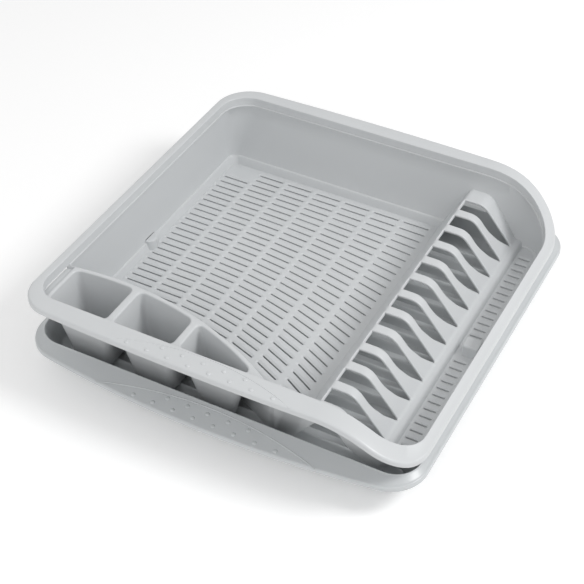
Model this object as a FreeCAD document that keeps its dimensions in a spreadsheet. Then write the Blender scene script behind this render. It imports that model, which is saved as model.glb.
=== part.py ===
"""Dish drainer basket that stands in a drip tray, in millimetres.

The origin is the middle of the footprint on the table. +X runs along the front to the right,
+Y runs to the back and +Z points up.
"""
import FreeCAD, Part
import math
import os
from FreeCAD import Vector

os.makedirs("parts", exist_ok=True)
doc = FreeCAD.newDocument("dish_drainer")

# Driving dimensions
sheet = doc.addObject("Spreadsheet::Sheet", "sizes")
SIZES = {
    # walls of the two mouldings
    "wall": 2.5,
    "deck_thickness": 3.0,
    "seat_clearance": 0.3,
    # levels above the table
    "deck_level": 14.0,
    "ledge_level": 24.0,
    "rim_high": 103.0,
    "rim_low": 65.0,
    "collar_height": 10.0,
    "lip_height": 7.0,
    # basket rim, measured from the middle
    "rim_half_length": 214.0,
    "rim_half_depth": 217.0,
    "rim_left_inset": 4.0,
    "rim_front_bulge": 4.0,
    "rim_back_bulge": 3.0,
    "flange_side": 9.5,
    "flange_front": 19.5,
    "flange_back": 16.0,
    "front_left_radius": 34.0,
    "back_left_radius": 42.0,
    "back_right_radius": 72.0,
    "front_right_radius": 45.0,
    "drop_start": 118.0,
    "drop_end": 210.0,
    # where the left end and the right end of rim and wall begin, from the rim's outer edge
    "side_run": 58.0,
    "drop_run": 78.0,
    # inside of the basket wall at the deck, from the rim's sides, then at the ledge and the collar
    "floor_left_inset": 18.5,
    "floor_back_inset": 33.5,
    "floor_front_inset": 43.5,
    "ledge_width": 1.8,
    "lower_draft": 3.5,
    "side_draft": 0.5,
    "front_draft": 17.5,
    "back_draft": 12.3,
    "gutter_draft": 13.5,
    "wall_radius": 34.0,
    "wall_back_right_radius": 58.0,
    # plate rack
    "rack_left": 71.0,
    "rack_top_left": 101.5,
    "rack_top_right": 125.5,
    "rack_foot": 161.5,
    "rack_level": 71.5,
    "rack_foot_level": 28.0,
    "rack_crown_radius": 18.0,
    "rack_toe_radius": 5.0,
    "edge_radius": 0.6,
    "rib_count": 11,
    "plate_pitch": 29.6,
    "plate_slot": 18.4,
    "rack_first_inset": 8.0,
    "slot_start": 102.0,
    "slot_taper": 135.0,
    "slot_tip": 160.0,
    "slot_tip_round": 3.0,
    "slot_belly": 3.5,
    # gutter
    "gutter_left": 170.5,
    "gutter_right": 189.5,
    "gutter_level": 22.0,
    "gutter_slot_length": 14.7,
    "gutter_slot_width": 2.0,
    "gutter_pitch": 10.7,
    "gutter_first_inset": 15.5,
    "gutter_slot_inset": 1.5,
    "gutter_margin": 0.6,
    "gutter_slot_count": 30,
    "gutter_gap_first": 15,
    "gutter_gap_last": 16,
    # slotted floor
    "floor_row_pitch": 10.03,
    "floor_row_spread": 2.63,
    "floor_row_centre": 134.5,
    "floor_row_reach": 200.8,
    "floor_slot_width": 1.8,
    "floor_column_pitch": 37.5,
    "floor_slot_length": 31.5,
    "floor_columns": 7,
    "floor_rows": 30,
    "floor_row_first": 7.0,
    "floor_column_first": 2.0,
    # cutlery corner, from the rim's sides
    "screen_centre_inset": 75.0,
    "screen_radius": 362.0,
    "screen_inset": 83.5,
    "screen_web": 5.0,
    "well_front_inset": 27.0,
    "well_left_inset": 24.5,
    "well_length": 67.0,
    "well_divider": 8.0,
    "well_radius": 5.0,
    "well_corner_flats": 2,
    "well_taper": 13.0,
    "well_lean": 15.0,
    # drip tray, whose sides stand out past the basket rim and whose front and back stand in
    "tray_side_overhang": 1.0,
    "tray_depth_inset": 2.5,
    "tray_bulge": 13.0,
    "tray_flange_side": 8.5,
    "tray_flange_front": 15.5,
    "tray_outer_level": 38.0,
    "tray_inner_level": 44.0,
    "tray_lip": 4.5,
    "tray_radius": 39.0,
    "tray_inner_radius": 26.0,
    "tray_floor": 2.5,
    "tray_draft": 1.5,
    "tray_rib_pitch": 19.0,
    "tray_rib_width": 9.0,
    # raised dots on both front rims, from the crown of the rim's front edge
    "dot_radius": 2.2,
    "dot_height": 0.9,
    "dot_sides": 8,
    "dot_pitch": 22.3,
    "dot_row_count": 8,
    "dot_rear_row_count": 5,
    "basket_dot_centre": -2.0,
    "basket_dot_front": 5.5,
    "basket_dot_rear": 14.5,
    "tray_dot_centre": 2.5,
    "tray_dot_front": 7.5,
    "tray_dot_rear": 17.0,
    # tabs at mid-depth
    "lug_y": 4.0,
    "lug_left_radius": 14.0,
    "lug_left_height": 11.0,
    "lug_left_top": 25.0,
    "lug_right_length": 14.0,
    "lug_right_width": 18.0,
    "lug_right_height": 14.0,
}
for row, (name, value) in enumerate(SIZES.items(), start=1):
    sheet.set("A%d" % row, name)
    sheet.set("B%d" % row, str(value))
    sheet.setAlias("B%d" % row, name)
doc.recompute()


def size(name):
    return float(sheet.get(name))


wall = size("wall")
deck_thickness = size("deck_thickness")
deck_level = size("deck_level")
deck_under = deck_level - deck_thickness
ledge_level = size("ledge_level")
rim_high = size("rim_high")
rim_low = size("rim_low")
collar_height = size("collar_height")
collar_foot = rim_high - collar_height
rim_x = size("rim_half_length")
rim_y = size("rim_half_depth")
floor_left = rim_x - size("floor_left_inset")
floor_back = rim_y - size("floor_back_inset")
floor_front = rim_y - size("floor_front_inset")
rack_left = size("rack_left")
rack_first = floor_back - size("rack_first_inset")
well_front = rim_y - size("well_front_inset")

FAR = 4 * rim_x
TALL = 3 * rim_high


# Geometry helpers

def flat_box(x0, x1, y0, y1, z0, z1):
    return Part.makeBox(x1 - x0, y1 - y0, z1 - z0, Vector(x0, y0, z0))


def corner_arc(centre, radius, start, end, z):
    """Corner round, counter-clockwise from the start angle to the end angle in degrees."""
    circle = Part.Circle(Vector(centre[0], centre[1], z), Vector(0, 0, 1), radius)
    return Part.Arc(circle, math.radians(start), math.radians(end)).toShape()


def side_turn(span, bulge):
    """Degrees between the end of a side that swells by the bulge and its straight line."""
    return math.degrees(2 * math.atan(2 * bulge / span))


def side_edge(before, after, y, bulge, z):
    """Side between two corner rounds: straight, or one arc whose middle stands at the given y."""
    start = before.valueAt(before.LastParameter)
    end = after.valueAt(after.FirstParameter)
    if bulge == 0:
        return Part.makeLine(start, end)
    return Part.Arc(start, Vector((start.x + end.x) / 2, y, z), end).toShape()


def outline(x0, x1, y0, y1, radii, z, front_bulge=0, back_bulge=0):
    """Rectangle with four corner radii: front left, front right, back right, back left."""
    front_left, front_right, back_right, back_left = radii
    front = side_turn(x1 - x0 - front_left - front_right, front_bulge)
    back = side_turn(x1 - x0 - back_left - back_right, back_bulge)
    corner_a = corner_arc((x0 + front_left, y0 + front_left), front_left, 180, 270 - front, z)
    corner_b = corner_arc((x1 - front_right, y0 + front_right), front_right, 270 + front, 360, z)
    corner_c = corner_arc((x1 - back_right, y1 - back_right), back_right, 0, 90 - back, z)
    corner_d = corner_arc((x0 + back_left, y1 - back_left), back_left, 90 + back, 180, z)
    edges = [
        corner_a,
        side_edge(corner_a, corner_b, y0 - front_bulge, front_bulge, z),
        corner_b,
        Part.makeLine(Vector(x1, y0 + front_right, z), Vector(x1, y1 - back_right, z)),
        corner_c,
        side_edge(corner_c, corner_d, y1 + back_bulge, back_bulge, z),
        corner_d,
        Part.makeLine(Vector(x0, y1 - back_left, z), Vector(x0, y0 + front_left, z)),
    ]
    return Part.Wire(edges)


def prism(wire, height):
    return Part.Face(wire).extrude(Vector(0, 0, height))


def stack(*wires):
    """Closed solid whose straight-drawn sides run through the outlines from bottom to top."""
    return Part.makeLoft(list(wires), True, True)


def grown(bounds, amount):
    x0, x1, y0, y1 = bounds
    return x0 - amount, x1 + amount, y0 - amount, y1 + amount


def offset_path(points, distance):
    """The open XZ polyline moved sideways, to its right, by the distance."""
    normals = []
    for (xa, za), (xb, zb) in zip(points, points[1:]):
        length = math.hypot(xb - xa, zb - za)
        normals.append(((zb - za) / length, -(xb - xa) / length))
    moved = [(points[0][0] + normals[0][0] * distance, points[0][1] + normals[0][1] * distance)]
    for (x, z), (ax, az), (bx, bz) in zip(points[1:], normals, normals[1:]):
        stretch = distance / (1 + ax * bx + az * bz)
        moved.append((x + (ax + bx) * stretch, z + (az + bz) * stretch))
    moved.append((points[-1][0] + normals[-1][0] * distance, points[-1][1] + normals[-1][1] * distance))
    return moved


def rounded_path(points, radii, y):
    """Edges of the open XZ polyline with each inner corner rounded by its radius."""
    edges = []
    here = Vector(points[0][0], y, points[0][1])
    for index, radius in enumerate(radii, start=1):
        corner = Vector(points[index][0], y, points[index][1])
        onward = (Vector(points[index + 1][0], y, points[index + 1][1]) - corner).normalize()
        back = (Vector(points[index - 1][0], y, points[index - 1][1]) - corner).normalize()
        half = back.getAngle(onward) / 2
        reach = radius / math.tan(half)
        start = corner + back * reach
        end = corner + onward * reach
        inward = (back + onward).normalize()
        middle = corner + inward * (radius / math.sin(half) - radius)
        edges.append(Part.makeLine(here, start))
        edges.append(Part.Arc(start, middle, end).toShape())
        here = end
    edges.append(Part.makeLine(here, Vector(points[-1][0], y, points[-1][1])))
    return edges


def bent_sheet(points, radii, turns, thickness, y0, y1):
    """Sheet under the XZ path, from y0 to y1. A turn is +1 where the path bends down."""
    under = offset_path(points, thickness)
    under_radii = [radius - turn * thickness for radius, turn in zip(radii, turns)]
    top_edges = rounded_path(points, radii, y0)
    under_edges = rounded_path(under, under_radii, y0)
    ends = [
        Part.makeLine(Vector(points[0][0], y0, points[0][1]), Vector(under[0][0], y0, under[0][1])),
        Part.makeLine(Vector(points[-1][0], y0, points[-1][1]), Vector(under[-1][0], y0, under[-1][1])),
    ]
    wire = Part.Wire(Part.__sortEdges__(top_edges + under_edges + ends))
    return Part.Face(wire).extrude(Vector(0, y1 - y0, 0))


parts = []


def add_solid(label, shape):
    feature = doc.addObject("Part::Feature", label)
    feature.Label = label
    feature.Shape = shape.removeSplitter()
    feature.Placement = FreeCAD.Placement()
    parts.append(feature)
    return feature


def add_primitive(kind, name, **expressions):
    """Part primitive whose sizes and place follow the sheet."""
    item = doc.addObject("Part::" + kind, name)
    for prop, expression in expressions.items():
        item.setExpression(".Placement.Base." + prop if prop in "xyz" else prop, expression)
    return item


def add_boolean(kind, label, base, tool):
    """Cut or common of two objects, kept as one of the sub-parts."""
    item = doc.addObject("Part::" + kind, label)
    item.Label = label
    item.Base = base
    item.Tool = tool
    item.Refine = True
    parts.append(item)
    return item


def add_helper(name, shape):
    """Shape that only other objects use."""
    item = doc.addObject("Part::Feature", name)
    item.Shape = shape
    return item


def add_sides(label, ring):
    """A closed ring as four sub-parts: both ends with their corners, and the runs between them."""
    left = rim_bounds[0] + size("side_run")
    right = rim_x - size("drop_run")
    add_solid(label + "_left", ring.common(flat_box(-FAR, left, -FAR, FAR, -TALL, TALL)))
    add_solid(label + "_right", ring.common(flat_box(right, FAR, -FAR, FAR, -TALL, TALL)))
    between = ring.common(flat_box(left, right, -FAR, FAR, -TALL, TALL))
    add_solid(label + "_front", between.common(flat_box(-FAR, FAR, -FAR, 0, -TALL, TALL)))
    add_solid(label + "_back", between.common(flat_box(-FAR, FAR, 0, FAR, -TALL, TALL)))


# Rim of the basket: one height curve, the same at the front and the back

def rim_curve_edge(drop, y):
    start = size("drop_start")
    reach = size("drop_end") - start
    fall = rim_high - rim_low
    points = [Vector(start, y, rim_high - drop)]
    for share in (0.25, 0.5, 0.72, 0.9):
        level = rim_low + fall * math.cos(share * math.pi / 2)
        points.append(Vector(start + reach * share, y, level - drop))
    points.append(Vector(start + reach, y, rim_low - drop))
    curve = Part.BSplineCurve()
    curve.interpolate(points, InitialTangent=Vector(1, 0, 0), FinalTangent=Vector(1, 0, -0.35))
    return curve.toShape()


def under_rim(drop):
    """Everything below the rim's height curve moved down by the drop."""
    start = size("drop_start")
    end = size("drop_end")
    high = rim_high - drop
    low = rim_low - drop
    edges = [
        Part.makeLine(Vector(-FAR, -FAR, high), Vector(start, -FAR, high)),
        rim_curve_edge(drop, -FAR),
        Part.makeLine(Vector(end, -FAR, low), Vector(FAR, -FAR, low)),
        Part.makeLine(Vector(FAR, -FAR, low), Vector(FAR, -FAR, -TALL)),
        Part.makeLine(Vector(FAR, -FAR, -TALL), Vector(-FAR, -FAR, -TALL)),
        Part.makeLine(Vector(-FAR, -FAR, -TALL), Vector(-FAR, -FAR, high)),
    ]
    return Part.Face(Part.Wire(edges)).extrude(Vector(0, 2 * FAR, 0))


rim_radii = (
    size("front_left_radius"),
    size("front_right_radius"),
    size("back_right_radius"),
    size("back_left_radius"),
)
rim_bounds = (-rim_x + size("rim_left_inset"), rim_x, -rim_y, rim_y)
collar_bounds = (
    rim_bounds[0] + size("flange_side"),
    rim_x - size("flange_side"),
    -rim_y + size("flange_front"),
    rim_y - size("flange_back"),
)
collar_radii = tuple(max(radius - size("flange_side"), wall * 2) for radius in rim_radii)


def rim_prism(inset, z0, z1):
    bounds = grown(rim_bounds, -inset)
    radii = [radius - inset for radius in rim_radii]
    wire = outline(*bounds, radii, z0, size("rim_front_bulge"), size("rim_back_bulge"))
    return prism(wire, z1 - z0)


def collar_prism(grow, z0, z1):
    bounds = grown(collar_bounds, grow)
    radii = [radius + grow for radius in collar_radii]
    return prism(outline(*bounds, radii, z0), z1 - z0)


below_rim_top = under_rim(0)
below_flange = under_rim(wall)
below_lip = under_rim(size("lip_height"))
below_collar = under_rim(collar_height)

flange = rim_prism(0, 0, TALL).cut(collar_prism(0, 0, TALL)).common(below_rim_top).cut(below_flange)
lip = rim_prism(0, 0, TALL).cut(rim_prism(wall, 0, TALL)).common(below_flange).cut(below_lip)
collar = collar_prism(wall, 0, TALL).cut(collar_prism(0, 0, TALL)).common(below_flange).cut(below_collar)
add_sides("rim", flange.fuse([lip, collar]))


# Wall of the basket: a low step from the deck to the ledge, then one leaning wall to the collar

floor_bounds = (
    -floor_left,
    size("gutter_right") - size("lower_draft"),
    -floor_front,
    floor_back,
)
ledge_bounds = grown(floor_bounds, size("lower_draft"))
lean_foot = grown(ledge_bounds, size("ledge_width"))
lean_top = (
    lean_foot[0] - size("side_draft"),
    lean_foot[1] + size("gutter_draft") * (collar_foot - ledge_level) / (rim_low - collar_height - ledge_level),
    lean_foot[2] - size("front_draft"),
    lean_foot[3] + size("back_draft"),
)
wall_radius = size("wall_radius")
wall_radii = (wall_radius, wall_radius, size("wall_back_right_radius"), wall_radius)


def basket_volume(grow):
    """Space inside the wall, grown sideways by the given amount."""
    radii = [radius + grow for radius in wall_radii]
    step_level = ledge_level - grow
    low = stack(
        outline(*grown(floor_bounds, grow), radii, deck_under),
        outline(*grown(ledge_bounds, grow), radii, step_level),
    )
    high = stack(
        outline(*grown(lean_foot, grow), radii, step_level),
        outline(*grown(lean_top, grow), radii, collar_foot),
    )
    return low.fuse(high)


inside = basket_volume(0)
outside = basket_volume(wall)

# Deck profile across the rack and the gutter
rack_points = [
    (rack_left, deck_level),
    (size("rack_top_left"), size("rack_level")),
    (size("rack_top_right"), size("rack_level")),
    (size("rack_foot"), size("rack_foot_level")),
    (size("gutter_left") - wall, size("rack_foot_level")),
    (size("gutter_left"), size("gutter_level")),
    (size("gutter_right") + 3 * wall, size("gutter_level")),
]
edge_radius = size("edge_radius")
rack_radii = [
    deck_thickness + edge_radius,
    size("rack_crown_radius"),
    size("rack_toe_radius"),
    deck_thickness + edge_radius,
    deck_thickness + edge_radius,
]
rack_turns = [1, 1, -1, 1, -1]
deck_sheet = bent_sheet(rack_points, rack_radii, rack_turns, deck_thickness, -rim_y, rim_y)

# Space below the deck sheet, open to the tray
under_points = offset_path(rack_points, deck_thickness)
under_edges = rounded_path(
    under_points,
    [radius - turn * deck_thickness for radius, turn in zip(rack_radii, rack_turns)],
    -rim_y - FAR,
)
hollow_start = Vector(under_points[0][0], -rim_y - FAR, under_points[0][1])
hollow_end = Vector(under_points[-1][0], -rim_y - FAR, under_points[-1][1])
hollow_foot = Vector(hollow_start.x, hollow_start.y, -TALL)
hollow_right = Vector(hollow_end.x + FAR, hollow_end.y, hollow_end.z)
hollow_low = Vector(hollow_right.x, hollow_right.y, -TALL)
hollow_wire = Part.Wire(
    [Part.makeLine(hollow_foot, hollow_start)]
    + under_edges
    + [
        Part.makeLine(hollow_end, hollow_right),
        Part.makeLine(hollow_right, hollow_low),
        Part.makeLine(hollow_low, hollow_foot),
    ]
)
below_deck = Part.Face(hollow_wire).extrude(Vector(0, 2 * (rim_y + FAR), 0))

# Cutlery corner: everything in front of the round screen wall
screen_back = size("screen_inset") - rim_y
screen_x = size("screen_centre_inset") - rim_x
screen_y = screen_back - size("screen_radius")


def screen_cylinder(inset, z0, z1):
    centre = Vector(screen_x, screen_y, z0)
    return Part.makeCylinder(size("screen_radius") - inset, z1 - z0, centre)


deck_plate_under = collar_foot - wall
cutlery_zone = screen_cylinder(0, -TALL, collar_foot)
wall_ring = outside.cut(inside).cut(below_deck).cut(cutlery_zone).common(below_collar)
add_sides("wall", wall_ring)


# Slotted floor

def row_y(row, x):
    swing = (x + size("floor_row_centre")) / size("floor_row_reach")
    spread = size("floor_row_spread") * swing * swing if swing > 0 else 0
    return floor_back - size("floor_row_first") - row * (size("floor_row_pitch") + spread)


def floor_slots():
    slots = []
    length = size("floor_slot_length")
    pitch = size("floor_column_pitch")
    width = size("floor_slot_width")
    first_x = -floor_left + size("floor_column_first")
    for column in range(int(size("floor_columns"))):
        x0 = first_x + column * pitch
        x1 = x0 + length
        for row in range(int(size("floor_rows"))):
            y0 = row_y(row, x0)
            y1 = row_y(row, x1)
            front = screen_y + math.sqrt(max(size("screen_radius") ** 2 - (x1 - screen_x) ** 2, 0))
            front_left = screen_y + math.sqrt(max(size("screen_radius") ** 2 - (x0 - screen_x) ** 2, 0))
            if y1 < front + 2 * wall or y0 < front_left + 2 * wall or y1 < -floor_front + 2 * wall:
                continue
            if column == 0 and row < 2:
                continue
            angle = math.degrees(math.atan2(y1 - y0, length))
            slot = flat_box(0, length, -width / 2, width / 2, deck_under - wall, deck_level + wall)
            slot.Placement = FreeCAD.Placement(Vector(x0, y0, 0), FreeCAD.Rotation(Vector(0, 0, 1), angle))
            slots.append(slot)
    return slots


floor_slab = flat_box(-rim_x, rack_left, -rim_y, rim_y, deck_under, deck_level)
floor_plate = floor_slab.common(inside).cut(deck_sheet).cut(cutlery_zone)
add_solid("basket_floor", floor_plate.cut(Part.makeCompound(floor_slots())))

# Plate rack: side panel, toe strip and end blocks in one node, and one node for each rib
deck_inside = deck_sheet.common(inside)
gutter_split = size("gutter_left") + size("gutter_slot_inset") - size("gutter_margin")
slot_start = size("slot_start")
slot_tip = size("slot_tip")
pitch = size("plate_pitch")
slot_width = size("plate_slot")
rib_count = int(size("rib_count"))


def slot_tool(index):
    """One plate slot: square at the left, drawn to a rounded point at the toe of the ridge."""
    back = rack_first - index * pitch
    front = back - slot_width
    taper = size("slot_taper")
    corner = size("slot_tip_round")
    belly = size("slot_belly")
    a = Vector(slot_start, back, 0)
    b = Vector(slot_tip, back, 0)
    tip = Vector(slot_tip, back - corner, 0)
    bend = Vector(taper, front, 0)
    middle = Vector((taper + slot_tip) / 2 + belly, (front + back - corner - 2 * belly) / 2, 0)
    d = Vector(slot_start, front, 0)
    edges = [
        Part.makeLine(a, b),
        Part.makeLine(b, tip),
        Part.Arc(tip, middle, bend).toShape(),
        Part.makeLine(bend, d),
        Part.makeLine(d, a),
    ]
    face = Part.Face(Part.Wire(edges))
    return face.extrude(Vector(0, 0, TALL))


rack_sheet = deck_inside.common(flat_box(-rim_x, gutter_split, -rim_y, rim_y, 0, TALL))
slots = Part.makeCompound([slot_tool(index) for index in range(rib_count + 1)])
slotted_rack = rack_sheet.cut(slots)
for index in range(rib_count):
    back = rack_first - index * pitch
    cell = flat_box(slot_start, slot_tip, back - pitch, back, 0, TALL)
    add_solid("plate_rib_%02d" % (index + 1), slotted_rack.common(cell))
ribs_cut = flat_box(
    slot_start, slot_tip,
    rack_first - rib_count * pitch, rack_first,
    0, TALL,
)
add_solid("plate_rack", slotted_rack.cut(ribs_cut))

# Gutter with cross slots, with some left out where the right tab stands
gutter_sheet = deck_inside.common(flat_box(gutter_split, rim_x, -rim_y, rim_y, 0, TALL))
gutter_blank = add_helper("gutter_blank", gutter_sheet.removeSplitter())
gutter_tools = []
for index in range(int(size("gutter_slot_count"))):
    if size("gutter_gap_first") <= index <= size("gutter_gap_last"):
        continue
    gutter_tools.append(add_primitive(
        "Box", "gutter_slot",
        Length="sizes.gutter_slot_length", Width="sizes.gutter_slot_width", Height="2 * sizes.gutter_level",
        x="sizes.gutter_left + sizes.gutter_slot_inset",
        y=(
            "sizes.rim_half_depth - sizes.floor_back_inset - sizes.gutter_first_inset"
            " - %d * sizes.gutter_pitch - sizes.gutter_slot_width / 2" % index
        ),
    ))
gutter_comb = doc.addObject("Part::Compound", "gutter_comb")
gutter_comb.Links = gutter_tools
add_boolean("Cut", "side_gutter", gutter_blank, gutter_comb)


# Cutlery corner: a top plate with the round screen wall, and three wells

def well_outline(left, right, back, z, grow, shrink_side, shrink_front):
    """Rectangle of a well at one level, with its corners cut to short flats."""
    x0 = left - grow + shrink_side
    x1 = right + grow - shrink_side
    y0 = -well_front - grow + shrink_front
    y1 = back + grow
    radius = size("well_radius") + grow
    flats = int(size("well_corner_flats"))
    corners = [
        (x0 + radius, y0 + radius, 180),
        (x1 - radius, y0 + radius, 270),
        (x1 - radius, y1 - radius, 0),
        (x0 + radius, y1 - radius, 90),
    ]
    points = []
    for x, y, start in corners:
        for step in range(flats + 1):
            angle = math.radians(start + 90 * step / flats)
            points.append(Vector(x + radius * math.cos(angle), y + radius * math.sin(angle), z))
    return Part.makePolygon(points + points[:1])


well_left = size("well_left_inset") - rim_x
well_length = size("well_length")
well_step = well_length + size("well_divider")
wells = [
    ("cutlery_well_left", well_left, well_left + well_length),
    ("cutlery_well_middle", well_left + well_step, well_left + well_step + well_length),
    ("cutlery_well_right", well_left + 2 * well_step, well_left + 3 * well_step),
]
web = size("screen_web")
mouth_level = deck_plate_under
floor_top = deck_under + wall
taper = size("well_taper")
lean = size("well_lean")
well_mouths = []
for label, left, right in wells:
    outer = stack(
        well_outline(left, right, screen_back, deck_under, wall, taper, lean),
        well_outline(left, right, screen_back, mouth_level, wall, 0, 0),
    )
    inner = stack(
        well_outline(left, right, screen_back, floor_top, 0, taper, lean),
        well_outline(left, right, screen_back, mouth_level, 0, 0, 0),
    )
    mouth = prism(well_outline(left, right, screen_back, mouth_level, 0, 0, 0), wall)
    outer = outer.common(screen_cylinder(web - wall, 0, TALL))
    inner = inner.common(screen_cylinder(web, 0, TALL))
    well_mouths.append(mouth.common(screen_cylinder(web, 0, TALL)))
    add_solid(label, outer.cut(inner))

plate_zone = collar_prism(wall, deck_plate_under, collar_foot)
top_plate = plate_zone.common(screen_cylinder(0, deck_plate_under, collar_foot)).common(below_collar)
screen = screen_cylinder(0, deck_under, deck_plate_under).cut(screen_cylinder(wall, deck_under, deck_plate_under))
screen_wall = screen.common(outside)
add_solid("cutlery_deck", top_plate.cut(Part.makeCompound(well_mouths)).fuse(screen_wall))


# Tabs at mid-depth: a half-round one on the left ledge, and a block in the gutter
left_tab = add_primitive(
    "Cylinder", "left_tab",
    Radius="sizes.lug_left_radius", Height="sizes.lug_left_height",
    x="sizes.floor_left_inset - sizes.rim_half_length - sizes.lower_draft - sizes.ledge_width",
    y="sizes.lug_y",
    z="sizes.lug_left_top - sizes.lug_left_height",
)
right_tab = add_primitive(
    "Box", "right_tab",
    Length="sizes.lug_right_length", Width="sizes.lug_right_width", Height="sizes.lug_right_height",
    x="sizes.gutter_right - sizes.lug_right_length",
    y="sizes.lug_y - sizes.lug_right_width / 2",
    z="sizes.gutter_level",
)
tabs = doc.addObject("Part::Compound", "tabs")
tabs.Links = [left_tab, right_tab]
basket_inside = add_helper("basket_inside", inside)
add_boolean("Common", "locating_lugs", tabs, basket_inside)


# Drip tray

tray_x = rim_x + size("tray_side_overhang")
tray_y = rim_y - size("tray_depth_inset")
tray_outer = (-tray_x, tray_x, -tray_y, tray_y)
tray_inner = (
    -tray_x + size("tray_flange_side"),
    tray_x - size("tray_flange_side"),
    -tray_y + size("tray_flange_front"),
    tray_y - size("tray_flange_front"),
)
tray_radius = size("tray_radius")
tray_inner_radius = size("tray_inner_radius")
outer_level = size("tray_outer_level")
inner_level = size("tray_inner_level")
tray_bulge = size("tray_bulge")


def tray_rim_volume(drop):
    low = outline(*tray_outer, (tray_radius,) * 4, outer_level - drop, tray_bulge, tray_bulge)
    high = outline(*tray_inner, (tray_inner_radius,) * 4, inner_level - drop)
    return stack(low, high)


def tray_inside(grow, z0):
    foot = grown(tray_inner, grow - size("tray_draft"))
    top = grown(tray_inner, grow)
    radius = tray_inner_radius + grow
    return stack(outline(*foot, (radius - size("tray_draft"),) * 4, z0), outline(*top, (radius,) * 4, inner_level))


tray_edge = outline(*tray_outer, (tray_radius,) * 4, 0, tray_bulge, tray_bulge)
tray_edge_inner = outline(*grown(tray_outer, -wall), (tray_radius - wall,) * 4, 0, tray_bulge, tray_bulge)
tray_lip_ring = prism(tray_edge, outer_level).cut(prism(tray_edge_inner, outer_level))
tray_lip_ring = tray_lip_ring.common(flat_box(-FAR, FAR, -FAR, FAR, outer_level - size("tray_lip"), outer_level))
tray_pan_outer = tray_inside(wall, 0)
slope = tray_rim_volume(0).cut(tray_rim_volume(wall)).cut(tray_pan_outer)
add_solid("tray_rim", slope.fuse(tray_lip_ring))

tray_floor = size("tray_floor")
pan_inner = tray_inside(0, tray_floor)
pan = tray_pan_outer.cut(pan_inner)
rib_top = deck_under - size("seat_clearance")
rib_inset = 2 * size("tray_rib_width")


def tray_rib(y, shrink, foot):
    """Rib along X with a bevelled top, made smaller all round to hollow it from below."""
    half = size("tray_rib_width") / 2 - shrink
    top = rib_top - shrink
    x = tray_inner[0] + rib_inset + shrink
    length = tray_inner[1] - rib_inset - shrink - x
    corners = [
        Vector(x, y - half, foot),
        Vector(x, y - half, top - half),
        Vector(x, y - half / 2, top),
        Vector(x, y + half / 2, top),
        Vector(x, y + half, top - half),
        Vector(x, y + half, foot),
    ]
    return Part.Face(Part.makePolygon(corners + corners[:1])).extrude(Vector(length, 0, 0))


rib_reach = tray_inner[3] - rib_inset
rib_pitch = size("tray_rib_pitch")
rib_rows = 2 * int(rib_reach / rib_pitch)
rib_places = [(index - (rib_rows - 1) / 2) * rib_pitch for index in range(rib_rows)]
ribs = [tray_rib(y, 0, tray_floor) for y in rib_places]
rib_cores = [tray_rib(y, wall, -wall) for y in rib_places]
add_solid("tray_pan", pan.fuse(ribs).cut(Part.makeCompound(rib_cores)))


# Raised dots on the front rims

def dot_places(place, crown):
    """Centres of the long front row and of the short rear row behind the crown of one rim's edge."""
    centre = size(place + "_dot_centre")
    rows = (("dot_row_count", "_dot_front"), ("dot_rear_row_count", "_dot_rear"))
    places = []
    for count_name, y_name in rows:
        count = int(size(count_name))
        for index in range(count):
            x = centre + (index - (count - 1) / 2) * size("dot_pitch")
            places.append((x, crown + size(place + y_name)))
    return places


def add_dots(place, crown, level, below):
    """Eight-sided studs that stand out of a rim, cut off at the rim's surface."""
    studs = []
    for x, y in dot_places(place, crown):
        stud = add_primitive(
            "Prism", place + "_dot",
            Polygon="sizes.dot_sides",
            Circumradius="sizes.dot_radius",
            Height="2 * sizes.dot_height",
        )
        stud.Placement.Base = Vector(x, y, level(x, y) - size("dot_height"))
        studs.append(stud)
    cloud = doc.addObject("Part::Compound", place + "_dots")
    cloud.Links = studs
    solid_below = add_helper(place + "_below_dots", below)
    add_boolean("Cut", "tray_rim_grips" if place == "tray" else "basket_rim_grips", cloud, solid_below)


def tray_slope_level(x, y):
    """Height of the tray's front rim, between its swelling outer edge and its straight inner edge."""
    half = tray_x - tray_radius
    arc_radius = (half ** 2 + tray_bulge ** 2) / (2 * tray_bulge)
    outer_y = -tray_y - tray_bulge + arc_radius - math.sqrt(arc_radius ** 2 - x ** 2)
    return outer_level + (inner_level - outer_level) * (y - outer_y) / (tray_inner[2] - outer_y)


below_rim = flat_box(-FAR, FAR, -FAR, FAR, -TALL, rim_high)
add_dots("basket", -rim_y - size("rim_front_bulge"), lambda x, y: rim_high, below_rim)
tray_top = tray_rim_volume(0).fuse(prism(tray_edge, outer_level))
add_dots("tray", -tray_y - tray_bulge, tray_slope_level, tray_top)

doc.recompute()

# Check every object, then write one file for each sub-part
for item in doc.Objects:
    if "Invalid" in item.State or "Error" in item.State:
        raise RuntimeError("failed object: " + item.Label)
for item in parts:
    if item.Shape.isNull() or not item.Shape.isValid():
        raise RuntimeError("bad shape: " + item.Label)
    print(item.Label, len(item.Shape.Solids), round(item.Shape.Volume), item.Shape.BoundBox)
    item.Shape.exportStep("parts/%s.step" % item.Label)
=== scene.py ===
"""Dish drainer basket standing in its drip tray: the looks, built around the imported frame."""
import math

import bmesh
import bpy
import numpy as np
from bpy.props import FloatProperty, FloatVectorProperty, IntProperty, PointerProperty
from bpy.types import Operator, Panel, PropertyGroup
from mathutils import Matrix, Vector
from mathutils.geometry import delaunay_2d_cdt


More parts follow.
